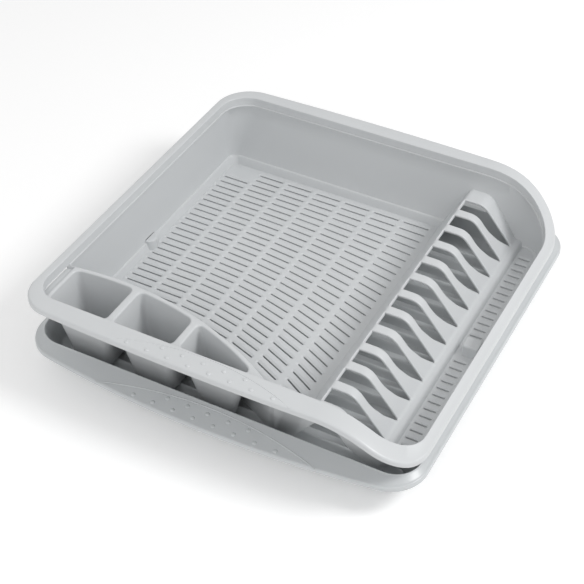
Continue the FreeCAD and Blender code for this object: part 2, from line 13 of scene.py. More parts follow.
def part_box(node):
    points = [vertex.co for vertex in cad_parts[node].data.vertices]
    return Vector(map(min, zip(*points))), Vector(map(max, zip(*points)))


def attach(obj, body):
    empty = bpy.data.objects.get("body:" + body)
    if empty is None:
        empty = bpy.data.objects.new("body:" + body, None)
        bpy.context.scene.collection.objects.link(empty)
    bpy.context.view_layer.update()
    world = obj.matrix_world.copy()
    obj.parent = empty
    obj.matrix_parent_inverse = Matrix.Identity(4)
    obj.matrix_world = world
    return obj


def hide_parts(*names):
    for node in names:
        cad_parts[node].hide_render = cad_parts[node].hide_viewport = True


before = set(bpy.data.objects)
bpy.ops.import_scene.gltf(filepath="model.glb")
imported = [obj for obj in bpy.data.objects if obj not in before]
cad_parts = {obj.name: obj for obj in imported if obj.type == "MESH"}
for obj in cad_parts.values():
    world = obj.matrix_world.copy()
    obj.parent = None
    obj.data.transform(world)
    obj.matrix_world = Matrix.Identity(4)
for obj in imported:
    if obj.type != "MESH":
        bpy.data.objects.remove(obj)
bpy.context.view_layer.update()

bl_info = {
    "name": "Dish Drainer Basket",
    "version": (1, 0, 0),
    "blender": (4, 5, 0),
    "location": "View3D > Sidebar > Drainer",
    "description": "Moulds a dish drainer basket and its drip tray around a fixed frame",
    "category": "Add Mesh",
}

# Lengths inside this file are millimetres, and settings, meshes and the camera's place are in metres
MM = 0.001
WALL = 2.5
COLLAR_HEIGHT = 10.0


def node_box(*nodes):
    """Lowest and highest corner of the named nodes together, in millimetres."""
    corners = np.array([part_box(node) for node in nodes]) / MM
    return corners[:, 0].min(axis=0), corners[:, 1].max(axis=0)


rim_low_corner, rim_high_corner = node_box("rim_left", "rim_right", "rim_front", "rim_back")
RIM_RIGHT = rim_high_corner[0]
RIM_LEFT = rim_low_corner[0]
DECK = node_box("basket_floor")[1][2]
DECK_UNDER = node_box("basket_floor")[0][2]


# Settings that a user would change

def length(name, description, default):
    """Setting that holds a length, in metres."""
    return FloatProperty(name=name, description=description, default=default,
                         unit="LENGTH", subtype="DISTANCE")


class DrainerShell(PropertyGroup):
    wall: length("Wall", "Thickness of the moulding", WALL * MM)
    lip: length("Lip", "Height of the turned-down edge", 7.0 * MM)
    collar: length("Collar", "Height of the upright band under the rim", COLLAR_HEIGHT * MM)
    edge: length("Edge radius", "Rounding of the rim's outer edge", 2.6 * MM)
    inner_edge: length("Inner edge radius", "Rounding of the rim's inner edge", 1.0 * MM)


class DrainerFloor(PropertyGroup):
    slot_width: length("Slot width", "Width of a draining slot", 1.8 * MM)
    slot_length: length("Slot length", "Length of a draining slot", 31.5 * MM)
    row_pitch: length("Row pitch", "Distance between rows of slots at the left", 10.03 * MM)
    column_pitch: length("Column pitch", "Distance between columns of slots", 37.5 * MM)
    trough: length("Trough", "How far the shallow trough reaches to each side of its slot", 3.4 * MM)
    trough_end: length("Trough end", "How far the shallow trough reaches past the slot's ends", 2.3 * MM)
    trough_depth: length("Trough depth", "Depth of the shallow trough round a slot", 0.9 * MM)
    rows: IntProperty(name="Rows", description="Rows of slots from back to front", default=30)
    columns: IntProperty(name="Columns", description="Columns of slots from left to right", default=7)


class DrainerRack(PropertyGroup):
    pitch: length("Plate pitch", "Distance from one plate slot to the next", 29.6 * MM)
    slot: length("Plate slot", "Width of a plate slot", 18.4 * MM)
    slots: IntProperty(name="Slots", description="Number of plate slots", default=12)
    edge: length("Edge radius", "Rounding of the ribs", 1.2 * MM)
    gutter_pitch: length("Gutter pitch", "Distance between the cross slots of the gutter", 10.7 * MM)
    gutter_length: length("Gutter slot length", "Length of a cross slot of the gutter", 13.4 * MM)
    gutter_width: length("Gutter slot width", "Width of a cross slot of the gutter", 2.0 * MM)
    gutter_slots: IntProperty(name="Gutter slots", description="Cross slots of the gutter", default=30)


class DrainerCutlery(PropertyGroup):
    mouth: length("Mouth radius", "Rounding of the wells' mouths", 1.8 * MM)
    corner: length("Corner radius", "Corner radius of a well", 6.0 * MM)
    groove: length("Groove depth", "Depth of the groove beside the left well", 3.0 * MM)


class DrainerTray(PropertyGroup):
    lip: length("Tray lip", "Height of the tray's turned-down edge", 4.5 * MM)
    edge: length("Tray edge", "Rounding of the tray's outer edge", 2.4 * MM)
    rib_pitch: length("Rib pitch", "Distance between the ribs of the tray floor", 19.0 * MM)
    rib_width: length("Rib width", "Width of a rib of the tray floor", 9.0 * MM)
    ribs: IntProperty(name="Ribs", description="Ribs of the tray floor", default=18)


class DrainerGrips(PropertyGroup):
    pitch: length("Dot pitch", "Distance between raised dots", 22.3 * MM)
    radius: length("Dot radius", "Radius of a raised dot", 2.3 * MM)
    height: length("Dot height", "Height of a raised dot", 0.9 * MM)
    line: length("Line width", "Width of the raised line behind the dots", 1.3 * MM)


class DrainerFinish(PropertyGroup):
    basket: FloatVectorProperty(name="Basket", description="Colour of the basket plastic", subtype="COLOR",
                                size=3, min=0, max=1, default=(0.60, 0.615, 0.625))
    tray: FloatVectorProperty(name="Tray", description="Colour of the tray plastic", subtype="COLOR",
                              size=3, min=0, max=1, default=(0.56, 0.58, 0.59))
    roughness: FloatProperty(name="Roughness", description="Roughness of the moulded face", default=0.30)


# Shader expressions

class Wire:
    """An output socket with arithmetic: an expression on wires adds its Math nodes."""

    def __init__(self, tree, socket):
        self.tree = tree
        self.socket = socket

    def maths(self, operation, *values):
        node = self.tree.nodes.new("ShaderNodeMath")
        node.operation = operation
        for slot, value in zip(node.inputs, values):
            if isinstance(value, Wire):
                self.tree.links.new(value.socket, slot)
            else:
                slot.default_value = value
        return Wire(self.tree, node.outputs[0])

    def __add__(self, other):
        return self.maths("ADD", self, other)

    def __radd__(self, other):
        return self.maths("ADD", other, self)

    def __sub__(self, other):
        return self.maths("SUBTRACT", self, other)

    def __rsub__(self, other):
        return self.maths("SUBTRACT", other, self)

    def __mul__(self, other):
        return self.maths("MULTIPLY", self, other)

    def __rmul__(self, other):
        return self.maths("MULTIPLY", other, self)

    def __truediv__(self, other):
        return self.maths("DIVIDE", self, other)

    def __lt__(self, other):
        return self.maths("LESS_THAN", self, other)

    def __gt__(self, other):
        return self.maths("GREATER_THAN", self, other)

    def floor(self):
        return self.maths("FLOOR", self)

    def root(self):
        return self.maths("SQRT", self.maths("MAXIMUM", self, 0.0))


class Graph:
    """Node tree, with methods that add a node, read an output and feed a node from others."""

    def __init__(self, tree):
        self.tree = tree

    def node(self, kind, settings=None, **inputs):
        node = self.tree.nodes.new(kind)
        for key, value in (settings or {}).items():
            setattr(node, key, value)
        for key, value in inputs.items():
            slot = node.inputs[key.replace("_", " ")]
            if isinstance(value, Wire):
                self.tree.links.new(value.socket, slot)
            else:
                slot.default_value = value
        return node

    def wire(self, node, output=0):
        return Wire(self.tree, node.outputs[output])

    def feed(self, node, *sources):
        """Links the first outputs of the sources to the node's first inputs, in order."""
        for slot, source in zip(node.inputs, sources):
            self.tree.links.new(source.outputs[0], slot)


class Shader(Graph):
    """Node tree of one material."""

    def __init__(self, name):
        self.material = bpy.data.materials.new(name)
        self.material.use_nodes = True
        super().__init__(self.material.node_tree)
        self.tree.nodes.clear()


class Pattern(Graph):
    """Geometry tree that works on a piece's mesh, with named inputs."""

    def __init__(self, name, **inputs):
        super().__init__(bpy.data.node_groups.new(name, "GeometryNodeTree"))
        face = self.tree.interface
        face.new_socket("Geometry", in_out="INPUT", socket_type="NodeSocketGeometry")
        face.new_socket("Geometry", in_out="OUTPUT", socket_type="NodeSocketGeometry")
        for label, kind in inputs.items():
            face.new_socket(label, in_out="INPUT", socket_type="NodeSocket" + kind)
        self.entry = self.tree.nodes.new("NodeGroupInput")

    def read(self, label):
        return Wire(self.tree, self.entry.outputs[label])

    def index(self):
        return self.wire(self.node("GeometryNodeInputIndex"))

    def instances(self, points, piece, turn=None):
        """Copies of the named input's object on the points."""
        source = self.node("GeometryNodeObjectInfo", Object=self.read(piece))
        angles = self.node("ShaderNodeCombineXYZ", Z=turn if turn else 0.0)
        return self.wire(self.node(
            "GeometryNodeInstanceOnPoints",
            Points=points, Instance=self.wire(source, "Geometry"), Rotation=self.wire(angles)))

    def join(self, *parts):
        node = self.tree.nodes.new("GeometryNodeJoinGeometry")
        for part in parts:
            self.tree.links.new(part.socket, node.inputs[0])
        return self.wire(node)

    def fill(self, outline, holes, level):
        """Level face inside the outline object's loop, with the realised loops as holes in it."""
        loops = self.node("GeometryNodeRealizeInstances", Geometry=holes)
        edge = self.node("GeometryNodeObjectInfo", Object=self.read(outline))
        together = self.join(self.wire(loops), self.wire(edge, "Geometry"))
        curves = self.node("GeometryNodeMeshToCurve", Mesh=together)
        face = self.node("GeometryNodeFillCurve", Curve=self.wire(curves))
        lift = self.node("ShaderNodeCombineXYZ", Z=level)
        return self.put(self.wire(face), Offset=self.wire(lift))

    def put(self, geometry, **place):
        """The geometry with its points at a Position, or moved by an Offset."""
        return self.wire(self.node("GeometryNodeSetPosition", Geometry=geometry, **place))

    def points(self, count):
        return self.wire(self.node("GeometryNodePoints", Count=count))

    def close(self, geometry, slot, weld=None):
        """Realises the result, welds its seams and gives it the slot's material."""
        solid = self.wire(self.node("GeometryNodeRealizeInstances", Geometry=geometry))
        if weld:
            solid = self.wire(self.node("GeometryNodeMergeByDistance", Geometry=solid, Distance=weld))
        done = self.wire(self.node("GeometryNodeSetMaterial", Geometry=solid, Material=finish(slot)))
        self.tree.links.new(done.socket, self.tree.nodes.new("NodeGroupOutput").inputs[0])


def run_pattern(piece, pattern, **values):
    """Runs the tree on the piece with these inputs, and keeps the plain mesh."""
    modifier = piece.modifiers.new("pattern", "NODES")
    modifier.node_group = pattern.tree
    for item in pattern.tree.interface.items_tree:
        if item.in_out == "INPUT" and item.name in values:
            modifier[item.identifier] = values[item.name]
    apply_modifiers(piece)


def moulded_plastic(name, colour, roughness):
    """Half-gloss polypropylene: faint flow clouds in colour and gloss, and a fine orange-peel skin."""
    shader = Shader(name)
    place = shader.wire(shader.node("ShaderNodeTexCoord"), "Object")

    def noise(scale, detail):
        return shader.wire(shader.node("ShaderNodeTexNoise", Vector=place, Scale=scale, Detail=detail))

    clouds = noise(9.0, 3.0)
    peel = noise(420.0, 2.0)
    sag = noise(26.0, 1.0)
    shade = 0.965 + clouds * 0.07
    mix = shader.node("ShaderNodeMix", {"data_type": "RGBA", "blend_type": "MULTIPLY"})
    mix.inputs[0].default_value = 1.0
    mix.inputs[6].default_value = (*colour, 1)
    gray = shader.node("ShaderNodeCombineColor", Red=shade, Green=shade, Blue=shade)
    shader.tree.links.new(gray.outputs[0], mix.inputs[7])
    gloss = roughness - 0.04 + clouds * 0.06 + peel * 0.03
    height = peel * 0.12 + sag * 0.9
    bump = shader.node("ShaderNodeBump", Strength=0.12, Distance=0.001, Height=height)
    skin = shader.node(
        "ShaderNodeBsdfPrincipled",
        Base_Color=Wire(shader.tree, mix.outputs[2]),
        Roughness=gloss,
        Normal=shader.wire(bump),
    )
    shader.feed(shader.node("ShaderNodeOutputMaterial"), skin)
    return shader.material


finishes = {}


def finish(slot):
    """Material of a slot, made once."""
    if slot not in finishes:
        settings = bpy.context.scene.drainer_finish
        colour = settings.basket if slot == "basket_plastic" else settings.tray
        finishes[slot] = moulded_plastic(slot, tuple(colour), settings.roughness)
    return finishes[slot]


# Mesh helpers

def add_mesh(name, points, faces, edges=()):
    """Object of a mesh given in millimetres."""
    mesh = bpy.data.meshes.new(name)
    mesh.from_pydata((np.asarray(points) * MM).tolist(), list(edges), [tuple(face) for face in faces])
    mesh.update()
    piece = bpy.data.objects.new(name, mesh)
    bpy.context.scene.collection.objects.link(piece)
    return piece


def tidy_mesh(piece, smooth_degrees=38, merge=0.01, hold_level=False):
    """Merges doubled points, drops faces without area, and shades smooth across soft angles.

    A level face can be held flat: its edges to sloping faces are then sharp."""
    work = bmesh.new()
    work.from_mesh(piece.data)
    bmesh.ops.remove_doubles(work, verts=work.verts, dist=merge * MM)
    bmesh.ops.dissolve_degenerate(work, edges=work.edges, dist=merge * MM)
    bmesh.ops.recalc_face_normals(work, faces=work.faces)
    work.to_mesh(piece.data)
    work.free()
    piece.data.shade_smooth()
    piece.data.set_sharp_from_angle(angle=math.radians(smooth_degrees))
    if hold_level:
        work = bmesh.new()
        work.from_mesh(piece.data)
        for edge in work.edges:
            levels = [abs(face.normal.z) > 0.99999 for face in edge.link_faces]
            if any(levels) and not all(levels):
                edge.smooth = False
        work.to_mesh(piece.data)
        work.free()


def apply_modifiers(piece):
    """Leaves the piece as the plain mesh that its modifiers make."""
    graph = bpy.context.evaluated_depsgraph_get()
    mesh = bpy.data.meshes.new_from_object(piece.evaluated_get(graph))
    piece.modifiers.clear()
    piece.data = mesh


def cut_away(piece, cutter):
    """Takes the cutter's space out of the piece, and removes the cutter."""
    modifier = piece.modifiers.new("cut", "BOOLEAN")
    modifier.operation = "DIFFERENCE"
    modifier.solver = "EXACT"
    modifier.object = cutter
    apply_modifiers(piece)
    bpy.data.objects.remove(cutter)


def settle(piece, body, slot, *nodes):
    """Gives a finished piece its material, body, slot and the nodes that it stands for."""
    piece.data.materials.clear()
    piece.data.materials.append(finish(slot))
    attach(piece, body)
    if nodes:
        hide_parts(*nodes)


# Plan outlines: every outline has the same stations, so that rings can be joined

CORNER_STEPS = 14
LONG_STEPS = 130
SHORT_STEPS = 60


def unit_circle(steps):
    angles = np.linspace(0, 2 * math.pi, steps, endpoint=False)
    return np.column_stack([np.cos(angles), np.sin(angles)])


def bow(start, end, height, steps):
    """Points from start up to end along an arc that stands off its chord, to the right, by the height."""
    chord = end - start
    span = np.linalg.norm(chord)
    outward = np.array((chord[1], -chord[0])) / span
    shares = np.arange(steps) / steps
    if abs(height) < 1e-6:
        return start + chord * shares[:, None]
    radius = (span**2 / 4 + height**2) / (2 * height)
    stand = np.sqrt(radius**2 - ((shares - 0.5) * span)**2) - (radius - height)
    return start + chord * shares[:, None] + outward * stand[:, None]


def arc_points(centre, radius, start, end, steps):
    angles = start + (end - start) * np.arange(steps + 1) / steps
    return np.column_stack([centre[0] + radius * np.cos(angles), centre[1] + radius * np.sin(angles)])


def rounded_outline(bounds, radii, front_bulge=0.0, back_bulge=0.0):
    """Points of a rectangle with rounded corners, anticlockwise from the front left corner."""
    x0, x1, y0, y1 = bounds
    front_left, front_right, back_right, back_left = radii
    quarter_turn = math.pi / 2
    front = 2 * math.atan(2 * front_bulge / (x1 - x0 - front_left - front_right))
    back = 2 * math.atan(2 * back_bulge / (x1 - x0 - back_left - back_right))
    corners = [
        ((x0 + front_left, y0 + front_left), front_left, 2 * quarter_turn, 3 * quarter_turn - front),
        ((x1 - front_right, y0 + front_right), front_right, 3 * quarter_turn + front, 4 * quarter_turn),
        ((x1 - back_right, y1 - back_right), back_right, 0, quarter_turn - back),
        ((x0 + back_left, y1 - back_left), back_left, quarter_turn + back, 2 * quarter_turn),
    ]
    arcs = [arc_points(*corner, CORNER_STEPS) for corner in corners]
    edges = [(LONG_STEPS, y0 - front_bulge), (SHORT_STEPS, None),
             (LONG_STEPS, y1 + back_bulge), (SHORT_STEPS, None)]
    pieces = []
    for arc, after, (steps, crown) in zip(arcs, arcs[1:] + arcs[:1], edges):
        height = 0.0 if crown is None else abs(crown - (arc[-1][1] + after[0][1]) / 2)
        pieces.append(arc[:-1])
        pieces.append(bow(arc[-1], after[0], height, steps))
    return np.concatenate(pieces)


def outward_normals(outline):
    tangent = np.roll(outline, -1, axis=0) - np.roll(outline, 1, axis=0)
    normal = np.stack([tangent[:, 1], -tangent[:, 0]], axis=1)
    return normal / np.linalg.norm(normal, axis=1)[:, None]


def ring(outline, offset, level):
    """Outline moved outwards by the offset, at a level that may differ from point to point."""
    plan = outline + outward_normals(outline) * offset
    return at_level(plan, level)


def at_level(plan, level):
    """Points of the plan at a level, which may differ from point to point."""
    return np.column_stack([plan, np.broadcast_to(level, len(plan))])


def join_rings(rings, closed):
    """Points and quads through the rings, which close on themselves around the object."""
    count = len(rings[0])
    points = np.concatenate(rings)
    faces = []
    last = len(rings) if closed else len(rings) - 1
    for row in range(last):
        here = row * count
        above = (row + 1) % len(rings) * count
        for column in range(count):
            beside = (column + 1) % count
            faces.append((here + column, here + beside, above + beside, above + column))
    return points, faces


def quarter(steps):
    """Shares of a quarter round: how far along the first way, and how far along the second."""
    angles = [math.pi / 2 * step / steps for step in range(steps + 1)]
    return [(math.sin(angle), 1 - math.cos(angle)) for angle in angles]


# Basket wall and rim: sizes repeated from the construction

RIM_HIGH = rim_high_corner[2]
RIM_LOW = 65.0
DROP_START = 118.0
DROP_END = 210.0
RIM_Y = 217.0
RIM_RADII = (34.0, 45.0, 72.0, 42.0)
FLANGE_SIDE = 9.5
FLANGE_FRONT = 19.5
FLANGE_BACK = 16.0
LEDGE = 24.0
LEDGE_DRAFT = 3.5
LEDGE_WIDTH = 1.8
FLOOR_BOUNDS = (-195.5, 186.0, -173.5, 183.5)
WALL_RADII = (34.0, 34.0, 58.0, 34.0)
FOOT_RADII = (34.0, 34.0, 16.0, 9.0)
LEAN_LEFT = 0.5
LEAN_RIGHT = 13.5
LEAN_FRONT = 17.5
LEAN_BACK = 12.3
COLLAR_FOOT = RIM_HIGH - COLLAR_HEIGHT
SCREEN = np.array((-139.0, -495.5))
SCREEN_RADIUS = 362.0
SCREEN_DRAFT = 12.0
SCREEN_WEB = 5.0
# Rings round the ledge and the collar's foot: height above it, and how far out from the inner face
LEDGE_STEP = [(-1.2, 0), (-0.35, 0.3), (-0.01, 0.9), (0.01, -0.5), (0.25, -0.15), (1.0, 0)]
SHOULDER = [(-1.2, -1.1), (-0.5, -1.0), (-0.1, -0.7), (0.05, -0.1), (0.4, 0)]


def rim_level(x):
    """Height of the rim's top, the same at the front and the back."""
    samples = np.arange(-300.0, 301.0, 1.0)
    share = np.clip((samples - DROP_START) / (DROP_END - DROP_START), 0, 1)
    heights = RIM_LOW + (RIM_HIGH - RIM_LOW) * np.cos(share * math.pi / 2)
    blur = np.hanning(17)
    padded = np.pad(heights, 8, mode="edge")
    heights = np.convolve(padded, blur / blur.sum(), mode="valid")
    return np.interp(x, samples, heights)


def grown(bounds, amount):
    x0, x1, y0, y1 = bounds
    return x0 - amount, x1 + amount, y0 - amount, y1 + amount


rim_outline = rounded_outline((RIM_LEFT, RIM_RIGHT, -RIM_Y, RIM_Y), RIM_RADII, 4.0, 3.0)
collar_bounds = (RIM_LEFT + FLANGE_SIDE, RIM_RIGHT - FLANGE_SIDE, -RIM_Y + FLANGE_FRONT, RIM_Y - FLANGE_BACK)
collar_outline = rounded_outline(collar_bounds, tuple(radius - FLANGE_SIDE for radius in RIM_RADII))
floor_outline = rounded_outline(FLOOR_BOUNDS, FOOT_RADII)
ledge_bounds = grown(FLOOR_BOUNDS, LEDGE_DRAFT)
ledge_outline = rounded_outline(ledge_bounds, FOOT_RADII)
foot_bounds = grown(ledge_bounds, LEDGE_WIDTH)
foot_outline = rounded_outline(foot_bounds, FOOT_RADII)
# The right wall leans by its amount up to the low rim, and the same slope goes on above
head_bounds = (
    foot_bounds[0] - LEAN_LEFT,
    foot_bounds[1] + LEAN_RIGHT * (COLLAR_FOOT - LEDGE) / (RIM_LOW - COLLAR_HEIGHT - LEDGE),
    foot_bounds[2] - LEAN_FRONT,
    foot_bounds[3] + LEAN_BACK,
)
head_outline = rounded_outline(head_bounds, WALL_RADII)

# Rack and gutter profile: corners of the path, and the rounding of each inner corner
DECK_THICKNESS = DECK - DECK_UNDER
GUTTER_LEVEL = 22.0
RIDGE_LEVEL = 71.5
STEP_LEVEL = 28.0
PROFILE = [(71.0, DECK), (101.5, RIDGE_LEVEL), (125.5, RIDGE_LEVEL), (161.5, STEP_LEVEL),
           (168.0, STEP_LEVEL), (170.5, GUTTER_LEVEL), (197.0, GUTTER_LEVEL)]
PROFILE_RADII = [3.6, 18.0, 5.0, 3.0, 1.6]


def rounded_path(corners, radii, steps=10):
    """Points along the path with every inner corner drawn as an arc."""
    points = [np.array(corners[0])]
    for index, radius in enumerate(radii, start=1):
        corner = np.array(corners[index])
        back = np.array(corners[index - 1]) - corner
        onward = np.array(corners[index + 1]) - corner
        back = back / np.linalg.norm(back)
        onward = onward / np.linalg.norm(onward)
        half = math.acos(np.clip(back @ onward, -1, 1)) / 2
        centre = corner + (back + onward) / np.linalg.norm(back + onward) * radius / math.sin(half)
        start = corner + back * radius / math.tan(half) - centre
        turn = math.pi - 2 * half
        side = math.copysign(1.0, back[0] * start[1] - back[1] * start[0])
        for step in range(steps + 1):
            angle = side * turn * step / steps
            points.append(centre + np.array((
                start[0] * math.cos(angle) - start[1] * math.sin(angle),
                start[0] * math.sin(angle) + start[1] * math.cos(angle))))
    points.append(np.array(corners[-1]))
    return np.array(points)


profile_path = rounded_path(PROFILE, PROFILE_RADII)


def path_normals(path):
    """Unit normals of the profile, pointing up: a point beside a long straight run takes that run's."""
    run = np.diff(path, axis=0)
    reach = np.linalg.norm(run, axis=1)
    tangent = np.concatenate([run[:1], run[:-1] + run[1:], run[-1:]])
    for index in range(1, len(path) - 1):
        if max(reach[index - 1], reach[index]) > 3 * min(reach[index - 1], reach[index]):
            tangent[index] = run[index - 1] if reach[index - 1] > reach[index] else run[index]
    normal = np.stack([-tangent[:, 1], tangent[:, 0]], axis=1)
    return normal / np.linalg.norm(normal, axis=1)[:, None]


under_path = profile_path - path_normals(profile_path) * DECK_THICKNESS

# Floor slots, rack, gutter, cutlery corner, tabs and tray: places repeated from the construction
RACK_FOOT = PROFILE[0]
RACK_FIRST = 175.5
GUTTER_RIGHT = 189.5
GUTTER_LAP = 1.2
GUTTER_FIRST = 168.0
GUTTER_MIDDLE = 180.1
GUTTER_LEFT_OUT = (15, 16)
# Trough round a cross slot: reach to its side, reach past its end, and depth
GUTTER_TROUGH = (2.2, 1.0, 0.8)
# Corners of a plate slot in plan: x, and y from the slot's front edge or from its back edge
PLATE_SLOT_FRONT = [(102.0, 0.0), (139.5, -0.8)]
PLATE_SLOT_BACK = [(150.5, -12.8), (160.4, -2.2), (160.4, 0.0), (102.0, 0.0)]
PLATE_SLOT_RADII = [1.2, 16.0, 20.0, 1.2, 1.2, 1.2]
SHEET_STEP = 2.5
SHEET_ROW = 5.0
SHEET_GAP = 1.2
WALL_LAP = 0.8
SLOT_STEPS = 6
WELD = 0.002
# How far the floor laps over the screen wall and the rack's foot, and how near to them its slots come
SCREEN_LAP = 1.2
RACK_LAP = 2.0
SLOT_MARGIN = 4.6
FRONT_MARGIN = 5.0
FLOOR_COLUMN_FIRST = 2.0
FLOOR_ROW_FIRST = 7.0
ROW_CENTRE = 134.5
ROW_REACH = 200.8
ROW_SPREAD = 2.63
WELLS = 3
WELL_LEFT = -189.5
WELL_LENGTH = 67.0
WELL_DIVIDER = 8.0
WELL_FRONT = -190.0
WELL_TAPER = 13.0
WELL_TAPER_END = 26.0
WELL_LEAN = 15.0
WELL_BACK = -138.0
WELL_LAST_SHIFT = (10.0, 14.0)
WELL_STEPS = 200
WELL_RINGS = (35.0, 55.0, 75.0)
WELL_FILLET = 4.0
WELL_FILLET_UNDER = 5.0
GROOVE_X = WELL_LEFT - 3.2
GROOVE_RAMP = 2.2
GROOVE_COLUMNS = np.array((-0.6, 0.0, 0.5, 1.1, 1.7, 2.2, 2.8, 4.5))
SCREEN_EDGE = 2.0
LUG_Y = 4.0
LUG_LEFT_X = -200.8
LUG_LEFT_RADIUS = 9.0
LUG_LEFT_LEVELS = (13.0, 27.0)
LUG_RIGHT_X = (176.5, 194.0)
LUG_RIGHT_HALF = 8.0
LUG_RIGHT_RADII = [3.4, 2.6, 2.6, 3.4]
LUG_RIGHT_LEVELS = (21.0, 36.0)
TRAY_OUTER_LEVEL = 38.0
TRAY_INNER_LEVEL = 44.0
TRAY_X = 215.0
TRAY_Y = 214.5
TRAY_BULGE = 13.0
TRAY_MOUTH_X = 206.5
TRAY_MOUTH_Y = 199.0
TRAY_FOOT_BOUNDS = (-205.0, 196.0, -180.0, 197.5)
TRAY_FOOT = 2.5
TRAY_FILLET = 4.0
TRAY_FILLET_UNDER = 5.0
TRAY_RIB_TOP = 10.7
# Distance from a rib's end, and the share of its height reached there
TRAY_RIB_END = [(0.0, 0.02), (1.5, 0.5), (4.0, 0.85), (8.0, 1.0)]
DOTS = 13
FRONT_DOTS = 8
# Three places of each rim's curved line, and the y of its front and back dots
BASKET_LINE = [(-100.0, -218.5), (-2.5, -199.2), (95.0, -218.5)]
BASKET_DOT_ROWS = (-215.5, -206.5)
TRAY_LINE = [(-118.0, -222.0), (2.5, -204.0), (123.0, -222.0)]
TRAY_DOT_ROWS = (-220.0, -210.5)
# Sections of a raised dot and of a raised line: share across, and share of height or lift
DOME_RINGS = [(1.0, -0.8), (1.0, 0.0), (0.93, 0.35), (0.78, 0.66), (0.52, 0.9), (0.2, 1.0)]
DOME_SIDES = 16
LINE_SECTION = [(-1, -0.4), (-1, 0.0), (-0.7, 0.25), (-0.25, 0.4),
                (0.25, 0.4), (0.7, 0.25), (1, 0.0), (1, -0.4)]
LINE_STEPS = 120
tray_outline = rounded_outline((-TRAY_X, TRAY_X, -TRAY_Y, TRAY_Y), (39.0,) * 4, TRAY_BULGE, TRAY_BULGE)
tray_mouth = rounded_outline((-TRAY_MOUTH_X, TRAY_MOUTH_X, -TRAY_MOUTH_Y, TRAY_MOUTH_Y), (26.0,) * 4)
tray_foot = rounded_outline(TRAY_FOOT_BOUNDS, (24.0,) * 4)


def under_deck(x):
    """Lowest level of the wall: the deck's underside above x."""
    return np.where(x < under_path[0, 0], DECK_UNDER, np.interp(x, under_path[:, 0], under_path[:, 1]))


def wall_plan(levels):
    """Inner face of the wall at a level of its own for every station, and those levels."""
    levels = np.broadcast_to(levels, len(floor_outline))
    low = ((levels - DECK_UNDER) / (LEDGE - DECK_UNDER))[:, None]
    high = ((levels - LEDGE) / (COLLAR_FOOT - LEDGE))[:, None]
    step = floor_outline + (ledge_outline - floor_outline) * low
    lean = foot_outline + (head_outline - foot_outline) * high
    return np.where(levels[:, None] < LEDGE, step, lean), levels


def screen_reach(level):
    """Radius of the round screen, which leans into the basket towards its foot."""
    return SCREEN_RADIUS + SCREEN_DRAFT * (COLLAR_FOOT - level) / (COLLAR_FOOT - DECK_UNDER)


def closed_by_screen(plan, disc, steps):
    """The open line of a plan, closed by the arc of the screen's disc between its ends."""
    start, end = (math.atan2(*(spot - SCREEN)[::-1]) for spot in (plan[-1], plan[0]))
    return np.concatenate([plan, arc_points(SCREEN, disc, start, end, steps)[1:-1]])


def screen_cutter(steps=256):
    """Space of the cutlery corner below the collar, as a tapering disc."""
    circle = unit_circle(steps)
    rings = [at_level(SCREEN + circle * screen_reach(level), level) for level in (-50.0, COLLAR_FOOT)]
    points, faces = join_rings(rings, closed=False)
    faces.append(tuple(range(steps))[::-1])
    faces.append(tuple(range(steps, 2 * steps)))
    return add_mesh("screen_space", points, faces)


class DRAINER_OT_shell(Operator):
    """Mould the basket's rim and leaning wall as one shell"""

    bl_idname = "drainer.shell"
    bl_label = "Basket Shell"

    def execute(self, context):
        settings = context.scene.drainer_shell
        wall = settings.wall / MM
        lip = settings.lip / MM
        edge = settings.edge / MM
        inner_edge = settings.inner_edge / MM
        collar = settings.collar / MM
        top = rim_level(rim_outline[:, 0])
        inner_top = rim_level(collar_outline[:, 0])
        foot_of_collar = inner_top - collar
        plan, _ = wall_plan(under_deck(floor_outline[:, 0]))
        floor_level = under_deck(plan[:, 0])

        def inner(level, offset, face=0.0):
            """Ring round the wall that stays on the plain face where the rack's sheet covers its level."""
            plan, held = wall_plan(np.maximum(level, floor_level))
            offset = np.where(level < floor_level, face, offset)[:, None]
            return ring(plan, offset, held)

        # The inside, from the floor over the ledge and the collar's shoulder to the rim
        rings = [inner(DECK_UNDER, 0), inner(DECK, 0)]
        rings += [inner(LEDGE + above, out) for above, out in LEDGE_STEP]
        rings += [inner(LEDGE + (foot_of_collar - LEDGE) * share, 0) for share in (0.25, 0.5, 0.75)]
        rings.append(inner(foot_of_collar - 3.0, 0))
        rings += [ring(collar_outline, out, foot_of_collar + above) for above, out in SHOULDER]
        for along, across in quarter(4):
            rings.append(ring(collar_outline, inner_edge * across, inner_top - inner_edge * (1 - along)))
        for along, across in quarter(5)[::-1]:
            rings.append(ring(rim_outline, -edge * across, top - edge * (1 - along)))
        # The lip and the underside, and back down the outside
        bevel = 0.6
        hollow = 1.2
        rings.append(ring(rim_outline, 0, top - lip + bevel))
        rings.append(ring(rim_outline, -bevel, top - lip))
        rings.append(ring(rim_outline, -wall + 0.4, top - lip))
        rings.append(ring(rim_outline, -wall, top - lip + bevel))
        rings.append(ring(rim_outline, -wall, top - wall - hollow))
        rings.append(ring(rim_outline, -wall - hollow, top - wall))
        rings.append(ring(collar_outline, wall + hollow, inner_top - wall))
        rings.append(ring(collar_outline, wall, inner_top - wall - hollow))
        rings.append(ring(collar_outline, wall, foot_of_collar))
        outside = (foot_of_collar - 1.5, LEDGE + 0.01, LEDGE - wall, DECK_UNDER)
        rings += [inner(level, wall, wall) for level in outside]
        points, faces = join_rings(rings, closed=True)
        piece = add_mesh("basket_shell", points, faces)
        tidy_mesh(piece)
        cut_away(piece, screen_cutter())
        tidy_mesh(piece)
        settle(piece, "basket", "basket_plastic", "rim_left", "rim_right", "rim_front", "rim_back",
               "wall_left", "wall_right", "wall_front", "wall_back")
        return {"FINISHED"}


